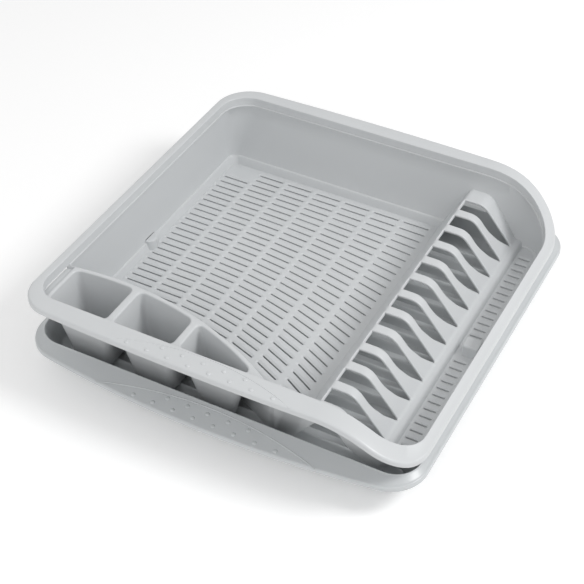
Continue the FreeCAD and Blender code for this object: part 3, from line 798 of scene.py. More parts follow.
# Slots: the inner faces of a slot with its shallow trough, and skins filled round their holes

class SlotForm:
    """A slot with round ends along X, round the origin, and its trough: side, end and depth."""

    def __init__(self, length, width, side, end, depth):
        self.length = length
        self.width = width
        self.side = side
        self.end = end
        self.depth = depth

    def loop(self, share):
        """Outline at a share of the way from the slot itself to the edge of its trough."""
        half = self.width / 2 + self.side * share
        reach = self.length / 2 + self.end * share - half
        right = arc_points((reach, 0), half, -math.pi / 2, math.pi / 2, SLOT_STEPS)
        left = arc_points((-reach, 0), half, math.pi / 2, math.pi * 1.5, SLOT_STEPS)
        return np.concatenate([right, left])

    def faces(self, name, top, under):
        """Open band from the plate's underside up through the slot and its trough to the top."""
        drop = self.depth
        levels = [(0.0, under), (0.0, top - drop - 0.15), (0.05, top - drop)]
        for share in (0.25, 0.45, 0.65, 0.85):
            levels.append((share, top - drop * (1 + math.cos(math.pi * share)) / 2))
        levels.append((1.0, top))
        rings = [at_level(self.loop(share), level) for share, level in levels]
        return add_mesh(name, *join_rings(rings, closed=False))

    def placed(self, share, spots):
        """Outlines at the share, one for each (x, y) spot."""
        return [self.loop(share) + np.array(spot) for spot in spots]


def loop_mesh(name, loop):
    """Object of a closed line of edges, at level zero."""
    count = len(loop)
    return add_mesh(name, at_level(loop, 0.0), [], [(index, (index + 1) % count) for index in range(count)])


def inside_loop(spots, loop):
    """Which spots lie inside the closed loop."""
    x, y = spots[:, 0], spots[:, 1]
    inside = np.zeros(len(spots), bool)
    for (xa, ya), (xb, yb) in zip(loop, np.roll(loop, -1, axis=0)):
        crosses = (ya > y) != (yb > y)
        with np.errstate(divide="ignore", invalid="ignore"):
            inside ^= crosses & (x < (xb - xa) * (y - ya) / (yb - ya) + xa)
    return inside


def grid_inside(across, down, loop):
    """Spots of a grid that lie inside the closed loop."""
    spots = np.stack(np.meshgrid(across, down), axis=-1).reshape(-1, 2)
    return spots[inside_loop(spots, loop)]


def clear_of(spots, loops, distance):
    """The spots that stand off every loop's points by the distance."""
    for loop in loops:
        gaps = np.linalg.norm(spots[:, None, :] - loop[None, :, :], axis=2)
        spots = spots[gaps.min(axis=1) > distance]
    return spots


def fill_region(outer, holes, spots):
    """Triangles of the plane inside the outer loop and outside the holes, through the extra spots."""
    points = []
    edges = []
    # The triangulator works in single precision, so the loops are rounded to it first
    outer, *holes = (np.float32(loop).astype(float) for loop in [outer] + holes)
    for loop in [outer] + holes:
        base = len(points)
        count = len(loop)
        points.extend(Vector(point) for point in loop)
        edges.extend((base + index, base + (index + 1) % count) for index in range(count))
    points.extend(Vector(spot) for spot in spots)
    result = delaunay_2d_cdt(points, edges, [], 0, 1e-6)
    coords = np.array([tuple(point) for point in result[0]])
    triangles = np.array([list(face) for face in result[2]])
    middles = coords[triangles].mean(axis=1)
    keep = inside_loop(middles, outer)
    for hole in holes:
        near = np.abs(middles - hole.mean(axis=0)).max(axis=1) < np.ptp(hole, axis=0).max()
        keep[near] &= ~inside_loop(middles[near], hole)
    return coords, triangles[keep]


def rounded_loop(corners, radii, steps=6):
    """Closed polygon with its corners drawn as arcs."""
    count = len(corners)
    loop = []
    for index, radius in enumerate(radii):
        trio = [corners[index - 1], corners[index], corners[(index + 1) % count]]
        loop.extend(rounded_path(trio, [radius], steps)[1:-1])
    return np.array(loop)


def dense(loop, reach):
    """The closed loop with points added on its long stretches."""
    points = []
    for start, end in zip(loop, np.roll(loop, -1, axis=0)):
        count = max(1, math.ceil(np.linalg.norm(end - start) / reach))
        points.extend(start + (end - start) * step / count for step in range(count))
    return np.array(points)


class Skin:
    """Points and faces gathered from several fillings and rings before they become one mesh."""

    def __init__(self):
        self.points = []
        self.faces = []

    def add(self, points, faces, turned=False):
        base = len(self.points)
        self.points.extend(np.asarray(points).tolist())
        for face in faces:
            face = [base + int(index) for index in face]
            self.faces.append(face[::-1] if turned else face)

    def add_rings(self, rings):
        self.add(*join_rings(rings, closed=False))

    def add_solid(self, rings):
        """Rings with both ends closed."""
        self.add_rings(rings)
        self.cap(rings[0], turned=True)
        self.cap(rings[-1])

    def cap(self, ring_points, turned=False):
        self.add(ring_points, [range(len(ring_points))], turned)

    def piece(self, name, **options):
        piece = add_mesh(name, self.points, self.faces)
        tidy_mesh(piece, **options)
        return piece


class DRAINER_OT_floor(Operator):
    """Mould the draining floor and cut its curved rows of slots"""

    bl_idname = "drainer.floor"
    bl_label = "Draining Floor"

    def execute(self, context):
        settings = context.scene.drainer_floor
        outline = self.floor_loop()
        form = SlotForm(settings.slot_length / MM, settings.slot_width / MM, settings.trough / MM,
                        settings.trough_end / MM, settings.trough_depth / MM)
        helpers = {
            "Outline": loop_mesh("floor_outline", outline),
            "Mouth": loop_mesh("slot_mouth", form.loop(1.0)),
            "Foot": loop_mesh("slot_foot", form.loop(0.0)),
            "Slot": form.faces("slot_faces", DECK, DECK_UNDER),
        }
        side = join_rings([at_level(outline, DECK_UNDER), at_level(outline, DECK)], closed=False)
        piece = add_mesh("draining_floor", *side)
        run_pattern(piece, self.pattern(), **helpers, **{
            "Rows": settings.rows, "Columns": settings.columns,
            "Row Pitch": settings.row_pitch, "Column Pitch": settings.column_pitch,
            "Slot Length": settings.slot_length,
        })
        for helper in helpers.values():
            bpy.data.objects.remove(helper)
        tidy_mesh(piece, merge=0.002, hold_level=True)
        settle(piece, "basket", "basket_plastic", "basket_floor")
        return {"FINISHED"}

    def floor_loop(self):
        """The wall's foot, cut off at the rack and hollowed by the round screen."""
        plan = rounded_outline(grown(FLOOR_BOUNDS, WALL_LAP), FOOT_RADII)
        disc = screen_reach(DECK) - SCREEN_LAP
        keep = (plan[:, 0] < RACK_FOOT[0] + RACK_LAP) & (np.linalg.norm(plan - SCREEN, axis=1) > disc)
        first = np.flatnonzero(keep & ~np.roll(keep, 1))
        start = first[np.argmin(plan[first, 1])]
        plan = np.roll(plan, -start, axis=0)[np.roll(keep, -start)]
        return closed_by_screen(plan, disc, 120)

    def pattern(self):
        """Slots in curved rows: the rows spread apart towards the plate rack."""
        pattern = Pattern("draining_slots", **{
            "Outline": "Object", "Mouth": "Object", "Foot": "Object", "Slot": "Object", "Rows": "Int",
            "Columns": "Int", "Row Pitch": "Float", "Column Pitch": "Float", "Slot Length": "Float",
        })
        columns = pattern.read("Columns")
        count = pattern.read("Rows") * columns
        row = (pattern.index() / columns + 0.001).floor()
        column = pattern.index() - row * columns
        start = (FLOOR_BOUNDS[0] + FLOOR_COLUMN_FIRST) * MM + column * pattern.read("Column Pitch")
        end = start + pattern.read("Slot Length")

        def row_place(x):
            swing = (x + ROW_CENTRE * MM).maths("MAXIMUM", x + ROW_CENTRE * MM, 0.0) / (ROW_REACH * MM)
            return (FLOOR_BOUNDS[3] - FLOOR_ROW_FIRST) * MM - row * (
                pattern.read("Row Pitch") + swing * swing * (ROW_SPREAD * MM))

        def screen_place(x):
            across = x - SCREEN[0] * MM
            return SCREEN[1] * MM + ((screen_reach(DECK) * MM) ** 2 - across * across).root()

        low = row_place(start)
        high = row_place(end)
        margin = SLOT_MARGIN * MM
        first_rows = (column < 0.5) * (row < 1.5)
        blocked = (high < screen_place(end) + margin) + (low < screen_place(start) + margin)
        blocked = blocked + (high < (FLOOR_BOUNDS[2] + FRONT_MARGIN) * MM) + first_rows
        place = pattern.node("ShaderNodeCombineXYZ", X=(start + end) * 0.5, Y=(low + high) * 0.5)
        placed = pattern.put(pattern.points(count), Position=pattern.wire(place))
        turn = (high - low).maths("ARCTAN2", high - low, end - start)
        turned = pattern.node("GeometryNodeStoreNamedAttribute", {"data_type": "FLOAT"},
                              Geometry=placed, Name="turn", Value=turn)
        kept = pattern.node("GeometryNodeDeleteGeometry", Geometry=pattern.wire(turned), Selection=blocked)
        angle = pattern.node("GeometryNodeInputNamedAttribute", {"data_type": "FLOAT"}, Name="turn")
        copies = {label: pattern.instances(pattern.wire(kept), label, pattern.wire(angle))
                  for label in ("Mouth", "Foot", "Slot")}
        top = pattern.fill("Outline", copies["Mouth"], DECK * MM)
        under = pattern.fill("Outline", copies["Foot"], DECK_UNDER * MM)
        pattern.close(pattern.join(pattern.read("Geometry"), top, under, copies["Slot"]), "basket_plastic",
                      weld=WELD * MM)
        return pattern


def wall_reach(x, level):
    """Inner face of the front wall and of the back wall beside x, at a level."""
    plan, _ = wall_plan(level)
    after = np.roll(plan, -1, axis=0)
    x = min(x, plan[:, 0].max() - 0.05)
    crossing = (plan[:, 0] > x) != (after[:, 0] > x)
    plan, after = plan[crossing], after[crossing]
    y = plan[:, 1] + (x - plan[:, 0]) / (after[:, 0] - plan[:, 0]) * (after[:, 1] - plan[:, 1])
    return y.min(), y.max()


class DRAINER_OT_rack(Operator):
    """Bend the plate rack and the side gutter from one sheet with rounded slots"""

    bl_idname = "drainer.rack"
    bl_label = "Plate Rack"

    def execute(self, context):
        settings = context.scene.drainer_rack
        edge = settings.edge / MM
        runs = np.concatenate([[0], np.cumsum(np.linalg.norm(np.diff(profile_path, axis=0), axis=1))])

        def along(run, values):
            """Values at the profile's points, read at this distance along it."""
            return np.interp(run, runs, values)

        end_run = np.interp(GUTTER_RIGHT + GUTTER_LAP, profile_path[:, 0], runs)
        stations = np.append(np.arange(0, end_run, SHEET_STEP), end_run)
        reaches = np.array([wall_reach(*(along(run, profile_path[:, axis]) for axis in (0, 1)))
                            for run in stations])
        front = np.column_stack([stations, reaches[:, 0] - WALL_LAP])
        back = np.column_stack([stations, reaches[:, 1] + WALL_LAP])
        outer = dense(np.concatenate([front, back[::-1]]), 6.0)
        slots = [self.slot_outline(settings, index, runs) for index in range(settings.slots)]
        flat_loops = [loop + outward_normals(loop) * edge for loop in slots]
        cross = SlotForm(settings.gutter_length / MM, settings.gutter_width / MM, *GUTTER_TROUGH)
        shift = np.array((runs[-1] - PROFILE[-1][0], 0.0))
        spots = [np.array((GUTTER_MIDDLE, GUTTER_FIRST - index * settings.gutter_pitch / MM)) + shift
                 for index in range(settings.gutter_slots) if index not in GUTTER_LEFT_OUT]
        mouths = cross.placed(1.0, spots)
        feet = cross.placed(0.0, spots)
        across = np.arange(SHEET_GAP, end_run, SHEET_STEP)
        spots = grid_inside(across, np.arange(-200, 200, SHEET_ROW), outer)
        for loop in flat_loops + mouths:
            spots = spots[~inside_loop(spots, loop)]
        spots = clear_of(spots, flat_loops + mouths + [outer], SHEET_GAP)

        def bend(plan, depth):
            """Places of the flat plan on the bent sheet, below its top by the depth."""
            normals = path_normals(profile_path)
            place = [along(plan[:, 0], profile_path[:, axis]) for axis in (0, 1)]
            lean = [along(plan[:, 0], normals[:, axis]) for axis in (0, 1)]
            depth = np.broadcast_to(depth, len(plan))
            return np.column_stack([place[0] - lean[0] * depth, plan[:, 1], place[1] - lean[1] * depth])

        skin = Skin()
        coords, triangles = fill_region(outer, flat_loops + mouths, spots)
        skin.add(bend(coords, 0), triangles)
        coords, triangles = fill_region(outer, flat_loops + feet, spots)
        skin.add(bend(coords, DECK_THICKNESS), triangles, turned=True)
        skin.add_rings([bend(outer, depth) for depth in (0, DECK_THICKNESS)])
        for loop in slots:
            normals = outward_normals(loop)
            rings = [bend(loop + normals * edge * (1 - out), edge * down) for out, down in quarter(5)]
            rings += [bend(loop + normals * edge * (1 - out), DECK_THICKNESS - edge * down)
                      for out, down in quarter(5)[::-1]]
            skin.add_rings(rings)
        piece = add_mesh("plate_rack_sheet", skin.points, skin.faces)
        slot = cross.faces("gutter_slot", GUTTER_LEVEL, GUTTER_LEVEL - DECK_THICKNESS)
        run_pattern(piece, self.gutter_pattern(), Slot=slot, Count=settings.gutter_slots,
                    Pitch=settings.gutter_pitch)
        bpy.data.objects.remove(slot)
        tidy_mesh(piece, smooth_degrees=45, hold_level=True)
        ribs = ["plate_rib_%02d" % (index + 1) for index in range(settings.slots - 1)]
        settle(piece, "basket", "basket_plastic", "plate_rack", "side_gutter", *ribs)
        return {"FINISHED"}

    def slot_outline(self, settings, index, runs):
        """One plate slot on the flat sheet: square at the left, drawn to a rounded tip at the toe."""
        back = RACK_FIRST - index * settings.pitch / MM
        front = back - settings.slot / MM
        corners = [(x, front + y) for x, y in PLATE_SLOT_FRONT] + [(x, back + y) for x, y in PLATE_SLOT_BACK]
        loop = dense(rounded_loop(corners, PLATE_SLOT_RADII), 2.2)
        return np.column_stack([np.interp(loop[:, 0], profile_path[:, 0], runs), loop[:, 1]])

    def gutter_pattern(self):
        """One column of cross slots, with two left out where the right tab stands."""
        pattern = Pattern("gutter_slots", Slot="Object", Count="Int", Pitch="Float")
        index = pattern.index()
        down = GUTTER_FIRST * MM - index * pattern.read("Pitch")
        place = pattern.node("ShaderNodeCombineXYZ", X=GUTTER_MIDDLE * MM, Y=down)
        placed = pattern.put(pattern.points(pattern.read("Count")), Position=pattern.wire(place))
        left_out = (GUTTER_LEFT_OUT[0] - 0.5 < index) * (index < GUTTER_LEFT_OUT[-1] + 0.5)
        kept = pattern.node("GeometryNodeDeleteGeometry", Geometry=placed, Selection=left_out)
        slots = pattern.instances(pattern.wire(kept), "Slot")
        pattern.close(pattern.join(pattern.read("Geometry"), slots), "basket_plastic", weld=WELD * MM)
        return pattern


class DRAINER_OT_cutlery(Operator):
    """Mould the cutlery corner: its deck, the round screen wall and three wells"""

    bl_idname = "drainer.cutlery"
    bl_label = "Cutlery Corner"

    def execute(self, context):
        settings = context.scene.drainer_cutlery
        self.corner = settings.corner / MM
        mouth = settings.mouth / MM
        groove = settings.groove / MM
        lower = [self.well_loop(index, 0.0, mouth) for index in range(WELLS)]
        disc = SCREEN_RADIUS - SCREEN_EDGE
        plan = self.deck_outline(disc)
        spots = self.deck_spots(plan, lower)
        coords, triangles = fill_region(plan, lower, spots)

        def top_level(points):
            share = np.clip((GROOVE_X - points[:, 0]) / GROOVE_RAMP, 0, 1)
            return COLLAR_FOOT - groove * share * share * (3 - 2 * share)

        def under_level(points):
            return np.minimum(top_level(points) - 2.0, under)

        under = COLLAR_FOOT - WALL
        skin = Skin()
        skin.add(at_level(coords, top_level(coords)), triangles)
        skin.add(at_level(coords, under_level(coords)), triangles, turned=True)
        skin.add_rings([at_level(plan, top_level(plan)), at_level(plan, under_level(plan))])
        for index, loop in enumerate(lower):
            self.add_well(skin, index, loop, mouth, under)
        piece = skin.piece("cutlery_corner", smooth_degrees=42)
        settle(piece, "basket", "basket_plastic", "cutlery_deck", "cutlery_well_left", "cutlery_well_middle",
               "cutlery_well_right")
        screen = self.screen_skin().piece("screen_wall", smooth_degrees=42)
        settle(screen, "basket", "basket_plastic")
        return {"FINISHED"}

    def deck_outline(self, disc):
        """The collar's inside, a little grown, as far as the screen's disc reaches."""
        plan = collar_outline + outward_normals(collar_outline)
        within = np.linalg.norm(plan - SCREEN, axis=1) < disc
        first = np.flatnonzero(within & ~np.roll(within, 1))[0]
        plan = np.roll(plan, -first, axis=0)[:within.sum()]
        return closed_by_screen(plan, disc, 160)

    def limited_loop(self, bounds, disc, corner, middle, count):
        """Rectangle cut by the screen's disc, with rounded corners, read along rays from its middle."""
        x0, x1, y0, y1 = bounds
        ways = unit_circle(count)
        near = np.zeros(count)
        far = np.full(count, 500.0)
        for _ in range(40):
            reach = (near + far) / 2
            spots = np.array(middle) + ways * reach[:, None]
            beyond = np.array([
                x0 - spots[:, 0], spots[:, 0] - x1, y0 - spots[:, 1], spots[:, 1] - y1,
                np.linalg.norm(spots - SCREEN, axis=1) - disc,
            ]) + corner
            outside = np.sqrt((np.maximum(beyond, 0) ** 2).sum(axis=0)) > corner
            far = np.where(outside, reach, far)
            near = np.where(outside, near, reach)
        return np.array(middle) + ways * ((near + far) / 2)[:, None]

    def well_loop(self, index, share, grow):
        """Outline of a well, from its mouth at share 0 to its foot at share 1."""
        last = index == WELLS - 1
        left = WELL_LEFT + index * (WELL_LENGTH + WELL_DIVIDER)
        right = left + WELL_LENGTH + (WELL_DIVIDER if last else 0.0)
        front = WELL_FRONT + WELL_LEAN * share
        taper = WELL_TAPER * share
        right_taper = WELL_TAPER_END * share if last else taper
        bounds = (left + taper - grow, right - right_taper + grow, front - grow, -100.0)
        # The last well narrows to the right, so its rays start nearer to its front left corner
        aside, forward = WELL_LAST_SHIFT if last else (0.0, 0.0)
        middle = ((left + right) / 2 - aside, (front + WELL_BACK - forward) / 2)
        disc = SCREEN_RADIUS - SCREEN_WEB + grow
        return self.limited_loop(bounds, disc, self.corner + grow, middle, WELL_STEPS)

    def deck_spots(self, plan, loops):
        """Spots that carry the groove beside the left well."""
        spots = grid_inside(GROOVE_X - GROOVE_COLUMNS, np.arange(-195.0, -135.0, 3.0), plan)
        return clear_of(spots, loops + [plan], 0.6)

    def add_well(self, skin, index, top_loop, mouth, under):
        """One well from its rounded mouth to its foot, and back up its outside."""
        depth = COLLAR_FOOT - DECK_UNDER

        def well_ring(height, grow):
            return at_level(self.well_loop(index, (COLLAR_FOOT - height) / depth, grow), height)

        rings = [well_ring(COLLAR_FOOT - mouth * down, mouth * (1 - out)) for out, down in quarter(5)]
        rings += [well_ring(height, 0.0) for height in WELL_RINGS[::-1]]
        rings += [well_ring(DECK_UNDER + WALL + WELL_FILLET * (1 - out), -WELL_FILLET * down)
                  for out, down in quarter(4)]
        skin.add_rings(rings)
        skin.cap(rings[-1])
        outer = [well_ring(DECK_UNDER + WELL_FILLET_UNDER * (1 - out), WALL - WELL_FILLET_UNDER * down)
                 for out, down in quarter(4)[::-1]]
        outer += [well_ring(height, WALL) for height in WELL_RINGS + (under + 0.5,)]
        skin.add_rings(outer)
        skin.cap(outer[0], turned=True)
        skin.add_rings([outer[-1], at_level(top_loop, under)])

    def screen_skin(self):
        """The round wall between the cutlery corner and the basket, from the deck's edge to the floor."""
        edge = SCREEN_EDGE
        levels = (60.0, 30.0, LEDGE, DECK_UNDER)
        section = [(SCREEN_RADIUS - edge * (1 - out), COLLAR_FOOT - edge * down) for out, down in quarter(6)]
        section += [(screen_reach(level), level) for level in levels]
        section += [(screen_reach(level) - WALL, level) for level in levels[::-1] + (COLLAR_FOOT - 1.0,)]
        rows = []
        for radius, level in section:
            left_angle = math.pi - math.acos(min(1.0, (SCREEN[0] - (foot_bounds[0] - 1.0)) / radius))
            front = wall_reach(0.0, level)[0] - 1.0
            right_angle = math.asin((front - SCREEN[1]) / radius)
            rows.append(at_level(arc_points(SCREEN, radius, right_angle, left_angle, 120), level))
        rows = np.array(rows)
        skin = Skin()
        skin.add_rings(rows.transpose(1, 0, 2))
        skin.cap(rows[:, 0])
        skin.cap(rows[:, -1], turned=True)
        return skin


class DRAINER_OT_lugs(Operator):
    """Stand the two tabs at mid-depth on the ledge and in the gutter"""

    bl_idname = "drainer.lugs"
    bl_label = "Tabs"

    def execute(self, context):
        reach = LUG_LEFT_RADIUS
        arc = arc_points((LUG_LEFT_X, LUG_Y), reach, -math.pi / 2, math.pi / 2, 28)
        half_round = np.concatenate([arc, [(LUG_LEFT_X - 1.0, LUG_Y + side * reach) for side in (1, -1)]])
        left, right = LUG_RIGHT_X
        front = LUG_Y - LUG_RIGHT_HALF
        back = LUG_Y + LUG_RIGHT_HALF
        block = rounded_loop([(left, front), (right, front), (right, back), (left, back)], LUG_RIGHT_RADII)
        skin = Skin()
        self.stud(skin, half_round, *LUG_LEFT_LEVELS, 1.6)
        self.stud(skin, dense(block, 3.0), *LUG_RIGHT_LEVELS, 2.2)
        piece = skin.piece("locating_tabs", smooth_degrees=50)
        settle(piece, "basket", "basket_plastic", "locating_lugs")
        return {"FINISHED"}

    def stud(self, skin, loop, foot, top, radius):
        """Upright block with a rounded top edge."""
        rings = [ring(loop, 0.0, foot), ring(loop, 0.0, top - radius)]
        rings += [ring(loop, -radius * (1 - out), top - radius * down) for out, down in quarter(5)[::-1][1:]]
        skin.add_solid(rings)


class DRAINER_OT_tray(Operator):
    """Mould the drip tray: its rolled lip, sloping rim, pan and ribs"""

    bl_idname = "drainer.tray"
    bl_label = "Drip Tray"

    def execute(self, context):
        settings = context.scene.drainer_tray
        wall = context.scene.drainer_shell.wall / MM
        lip = settings.lip / MM
        edge = settings.edge / MM
        rise = TRAY_INNER_LEVEL - TRAY_OUTER_LEVEL

        def slope(share, drop=0.0):
            """Ring on the sloping rim, from its outer edge at share 0 to the mouth at share 1."""
            plan = tray_outline + (tray_mouth - tray_outline) * np.asarray(share)[..., None]
            return at_level(plan, TRAY_OUTER_LEVEL + rise * share - drop)

        width = np.linalg.norm(tray_mouth - tray_outline, axis=1)

        def pan(offset, level):
            """Ring on the pan's wall, which leans in towards its foot."""
            return ring(tray_foot + (tray_mouth - tray_foot) * level / TRAY_INNER_LEVEL, offset, level)

        lip_foot = TRAY_OUTER_LEVEL - lip
        bevel = 0.6
        rings = [ring(tray_outline, -wall, lip_foot), ring(tray_outline, -bevel, lip_foot),
                 ring(tray_outline, 0.0, lip_foot + bevel)]
        crest = TRAY_OUTER_LEVEL + rise * edge / width
        for out, down in quarter(6)[::-1]:
            rings.append(ring(tray_outline, -edge * (1 - out), crest - edge * down))
        rings += [slope(share) for share in (0.35, 0.6, 0.8)]
        rings.append(slope(1 - 1.6 / width))
        rings += [pan(out, TRAY_INNER_LEVEL - drop) for out, drop in ((0.9, 0.05), (0.3, 0.4), (0.0, 1.1))]
        rings += [pan(0.0, level) for level in (30.0, 18.0)]
        rings += [pan(-TRAY_FILLET * down, TRAY_FOOT + TRAY_FILLET * (1 - out)) for out, down in quarter(5)]
        skin = Skin()
        skin.add_rings(rings)
        skin.cap(rings[-1])
        under = [pan(wall - TRAY_FILLET_UNDER * down, TRAY_FILLET_UNDER * (1 - out))
                 for out, down in quarter(5)[::-1]]
        under += [pan(wall, level) for level in (18.0, 30.0, TRAY_INNER_LEVEL - 2.9)]
        under += [slope(share, 2.7) for share in (0.75, 0.5, 0.3)]
        under += [ring(tray_outline, -wall, TRAY_OUTER_LEVEL - 2.2), rings[0]]
        skin.add_rings(under)
        skin.cap(under[0], turned=True)
        piece = skin.piece("tray_shell")
        settle(piece, "drip_tray", "tray_plastic", "tray_pan", "tray_rim")
        self.add_ribs(settings)
        return {"FINISHED"}

    def add_ribs(self, settings):
        """Soft waves of the tray floor, repeated from front to back."""
        half = settings.rib_width / MM / 2
        reach = TRAY_MOUTH_X - 2 * settings.rib_width / MM
        across = np.linspace(-half, half, 15)
        height = (TRAY_RIB_TOP - TRAY_FOOT) * (0.5 + 0.5 * np.cos(np.pi * across / half))**0.7
        sections = [(inset - reach, share) for inset, share in TRAY_RIB_END]
        sections += [(-x, share) for x, share in sections[::-1]]
        rings = []
        for x, share in sections:
            crest = np.column_stack([np.full(15, x), across, TRAY_FOOT + share * height])
            foot = np.array([(x, half, TRAY_FOOT - 0.6), (x, -half, TRAY_FOOT - 0.6)])
            rings.append(np.concatenate([crest, foot]))
        skin = Skin()
        skin.add_solid(rings)
        rib = skin.piece("tray_rib")
        pattern = Pattern("tray_waves", Rib="Object", Count="Int", Pitch="Float")
        count = pattern.read("Count")
        y = (pattern.index() - (count - 1) * 0.5) * pattern.read("Pitch")
        place = pattern.node("ShaderNodeCombineXYZ", Y=y)
        placed = pattern.put(pattern.points(count), Position=pattern.wire(place))
        pattern.close(pattern.instances(placed, "Rib"), "tray_plastic")
        ribs = add_mesh("tray_ribs", [], [])
        run_pattern(ribs, pattern, Rib=rib, Count=settings.ribs, Pitch=settings.rib_pitch)
        bpy.data.objects.remove(rib)
        settle(ribs, "drip_tray", "tray_plastic")


class DRAINER_OT_grips(Operator):
    """Raise the grip dots and the curved line behind them on both front rims"""

    bl_idname = "drainer.grips"
    bl_label = "Grip Dots"

    def execute(self, context):
        settings = context.scene.drainer_grips
        dome = self.dome(settings)
        self.add_grips("basket", dome, settings, -2.0, BASKET_DOT_ROWS, RIM_HIGH, 0.0, BASKET_LINE)
        # The tray's rim slopes, so its level is given at y 0 and the tilt brings it down to the dots
        tilt = (TRAY_INNER_LEVEL - TRAY_OUTER_LEVEL) / (TRAY_Y + TRAY_BULGE - TRAY_MOUTH_Y)
        level = TRAY_INNER_LEVEL + tilt * TRAY_MOUTH_Y
        self.add_grips("tray", dome, settings, 2.5, TRAY_DOT_ROWS, level, tilt, TRAY_LINE)
        bpy.data.objects.remove(dome)
        return {"FINISHED"}

    def dome(self, settings):
        """One raised dot: a low dome with a closed foot."""
        circle = unit_circle(DOME_SIDES) * settings.radius / MM
        rings = [at_level(circle * share, level * settings.height / MM) for share, level in DOME_RINGS]
        skin = Skin()
        skin.add_solid(rings)
        return skin.piece("dome", smooth_degrees=80)

    def add_grips(self, place, dome, settings, centre, rows, level, tilt, line):
        """Two rows of dots, eight in front and five behind, and the line that frames them."""
        body = "basket" if place == "basket" else "drip_tray"
        slot = place + "_plastic"
        pattern = Pattern(place + "_dots", Dome="Object", Pitch="Float")
        index = pattern.index()
        rear = FRONT_DOTS - 0.5 < index
        # Each row is centred: the rear one starts over, with fewer dots
        step = index - (FRONT_DOTS - 1) / 2 - rear * (DOTS / 2)
        y = rows[0] * MM + rear * ((rows[1] - rows[0]) * MM)
        spot = pattern.node("ShaderNodeCombineXYZ", X=centre * MM + step * pattern.read("Pitch"), Y=y,
                            Z=level * MM + y * tilt)
        placed = pattern.put(pattern.points(DOTS), Position=pattern.wire(spot))
        pattern.close(pattern.instances(placed, "Dome"), slot)
        piece = add_mesh(place + "_grip_dots", [], [])
        run_pattern(piece, pattern, Dome=dome, Pitch=settings.pitch)
        settle(piece, body, slot, place + "_rim_grips")
        self.add_line(place, line, settings.line / MM, level, tilt, body, slot)

    def add_line(self, place, line, width, level, tilt, body, slot):
        """Thin raised line along an arc through three places."""
        start, middle, end = (np.array(point) for point in line)
        height = middle[1] - (start[1] + end[1]) / 2
        path = np.concatenate([bow(end, start, height, LINE_STEPS), [start]])
        tangent = np.gradient(path, axis=0)
        normal = np.column_stack([tangent[:, 1], -tangent[:, 0]])
        normal /= np.linalg.norm(normal, axis=1)[:, None]
        steps = np.arange(LINE_STEPS + 1)
        fade = np.clip(np.minimum(steps, steps[::-1]) / 8, 0.05, 1)
        sections = []
        for side, lift in LINE_SECTION:
            plan = path + normal * side * width / 2
            sections.append(at_level(plan, level + tilt * plan[:, 1] + lift * fade))
        skin = Skin()
        skin.add_solid(np.array(sections).transpose(1, 0, 2))
        settle(skin.piece(place + "_grip_line", smooth_degrees=60), body, slot)


# The camera was fitted to the floor's slots: its place is in metres, its reach in pixels of the photograph
IMAGE_WIDTH = 584
SENSOR = 36.0
CAMERA_REACH = 1357.8
CAMERA_AZIMUTH = 28.0
CAMERA_ELEVATION = 41.47
CAMERA_PLACE = (0.4901, -0.9573, 0.9811)
# Lamps: name, place and side in millimetres, power in watts
LAMPS = [("key", (1400, 300, 1550), 600, 19.0), ("fill", (0, -1250, 1150), 900, 4.5)]
LAMP_TARGET = (0, 0, 60)
FLOOR_SIDE = 6000.0
FLOOR_GLOW = 0.16
SKY_STRENGTH = 0.62
BACKDROP = (0.8, 0.8, 0.8, 1)


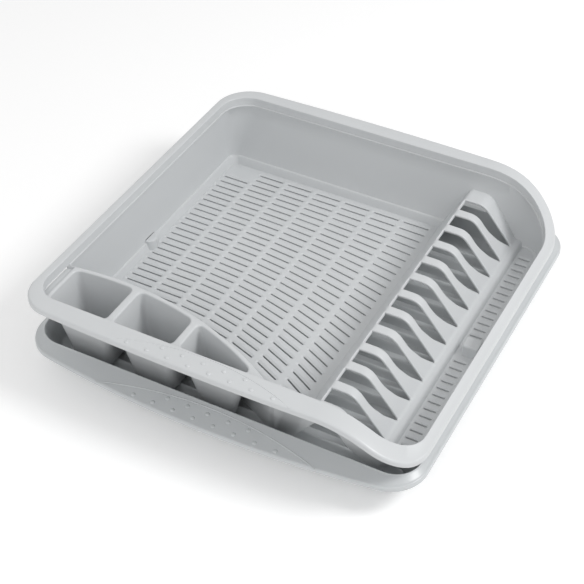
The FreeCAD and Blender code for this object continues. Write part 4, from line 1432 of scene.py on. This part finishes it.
class DRAINER_OT_stage(Operator):
    """Lay the pale floor and set the soft lamps and the camera"""

    bl_idname = "drainer.stage"
    bl_label = "Stage"

    def execute(self, context):
        scene = context.scene
        scene.view_settings.view_transform = "Standard"
        scene.render.film_transparent = False
        half = FLOOR_SIDE / 2
        floor = add_mesh("floor", [(-half, -half, 0), (half, -half, 0), (half, half, 0), (-half, half, 0)],
                         [(0, 1, 2, 3)])
        shader = Shader("pale_floor")
        matt = shader.node("ShaderNodeBsdfPrincipled", Base_Color=(0.93, 0.93, 0.93, 1), Roughness=0.7)
        seen = shader.wire(shader.node("ShaderNodeLightPath"), "Is Camera Ray")
        glow = shader.node("ShaderNodeEmission", Strength=seen * FLOOR_GLOW)
        both = shader.node("ShaderNodeAddShader")
        shader.feed(both, matt, glow)
        shader.feed(shader.node("ShaderNodeOutputMaterial"), both)
        floor.data.materials.append(shader.material)
        world = bpy.data.worlds.new("studio")
        scene.world = world
        world.use_nodes = True
        world.node_tree.nodes.clear()
        sky = Graph(world.node_tree)
        lit = sky.node("ShaderNodeBackground", Color=(1, 1, 1, 1), Strength=SKY_STRENGTH)
        white = sky.node("ShaderNodeBackground", Color=BACKDROP, Strength=1.0)
        mix = sky.node("ShaderNodeMixShader")
        sky.feed(mix, sky.node("ShaderNodeLightPath"), lit, white)
        sky.feed(sky.node("ShaderNodeOutputWorld"), mix)
        for name, place, side, power in LAMPS:
            self.lamp(name, place, side, power)
        self.camera(scene)
        return {"FINISHED"}

    def lamp(self, name, place, side, power):
        """Square soft lamp that points at the middle of the object."""
        light = bpy.data.lights.new(name, "AREA")
        light.shape = "SQUARE"
        light.size = side * MM
        light.energy = power
        lamp = bpy.data.objects.new(name, light)
        bpy.context.scene.collection.objects.link(lamp)
        lamp.location = Vector(place) * MM
        lamp.rotation_euler = (Vector(LAMP_TARGET) - Vector(place)).to_track_quat("-Z", "Y").to_euler()

    def camera(self, scene):
        """Camera at the photograph's angle and distance."""
        data = bpy.data.cameras.new("camera")
        data.sensor_width = SENSOR
        data.lens = CAMERA_REACH / IMAGE_WIDTH * SENSOR
        data.clip_end = 20
        camera = bpy.data.objects.new("camera", data)
        scene.collection.objects.link(camera)
        camera.location = CAMERA_PLACE
        pitch = math.pi / 2 - math.radians(CAMERA_ELEVATION)
        camera.rotation_euler = (pitch, 0, math.radians(CAMERA_AZIMUTH))
        scene.camera = camera


class DRAINER_PT_panel(Panel):
    """Lists the steps that mould the drainer"""

    bl_label = "Dish Drainer"
    bl_idname = "DRAINER_PT_panel"
    bl_space_type = "VIEW_3D"
    bl_region_type = "UI"
    bl_category = "Drainer"

    def draw(self, context):
        for operator in operators:
            self.layout.operator(operator.bl_idname)


operators = (
    DRAINER_OT_stage,
    DRAINER_OT_shell,
    DRAINER_OT_floor,
    DRAINER_OT_rack,
    DRAINER_OT_cutlery,
    DRAINER_OT_lugs,
    DRAINER_OT_tray,
    DRAINER_OT_grips,
)
groups = {
    "drainer_shell": DrainerShell,
    "drainer_floor": DrainerFloor,
    "drainer_rack": DrainerRack,
    "drainer_cutlery": DrainerCutlery,
    "drainer_tray": DrainerTray,
    "drainer_grips": DrainerGrips,
    "drainer_finish": DrainerFinish,
}


def register():
    for name, group in groups.items():
        bpy.utils.register_class(group)
        setattr(bpy.types.Scene, name, PointerProperty(type=group))
    for operator in operators:
        bpy.utils.register_class(operator)
    bpy.utils.register_class(DRAINER_PT_panel)


def unregister():
    bpy.utils.unregister_class(DRAINER_PT_panel)
    for operator in reversed(operators):
        bpy.utils.unregister_class(operator)
    for name, group in groups.items():
        delattr(bpy.types.Scene, name)
        bpy.utils.unregister_class(group)


def main():
    register()
    bpy.ops.drainer.stage()
    bpy.ops.drainer.shell()
    bpy.ops.drainer.floor()
    bpy.ops.drainer.rack()
    bpy.ops.drainer.cutlery()
    bpy.ops.drainer.lugs()
    bpy.ops.drainer.tray()
    bpy.ops.drainer.grips()


if __name__ == "__main__":
    main()
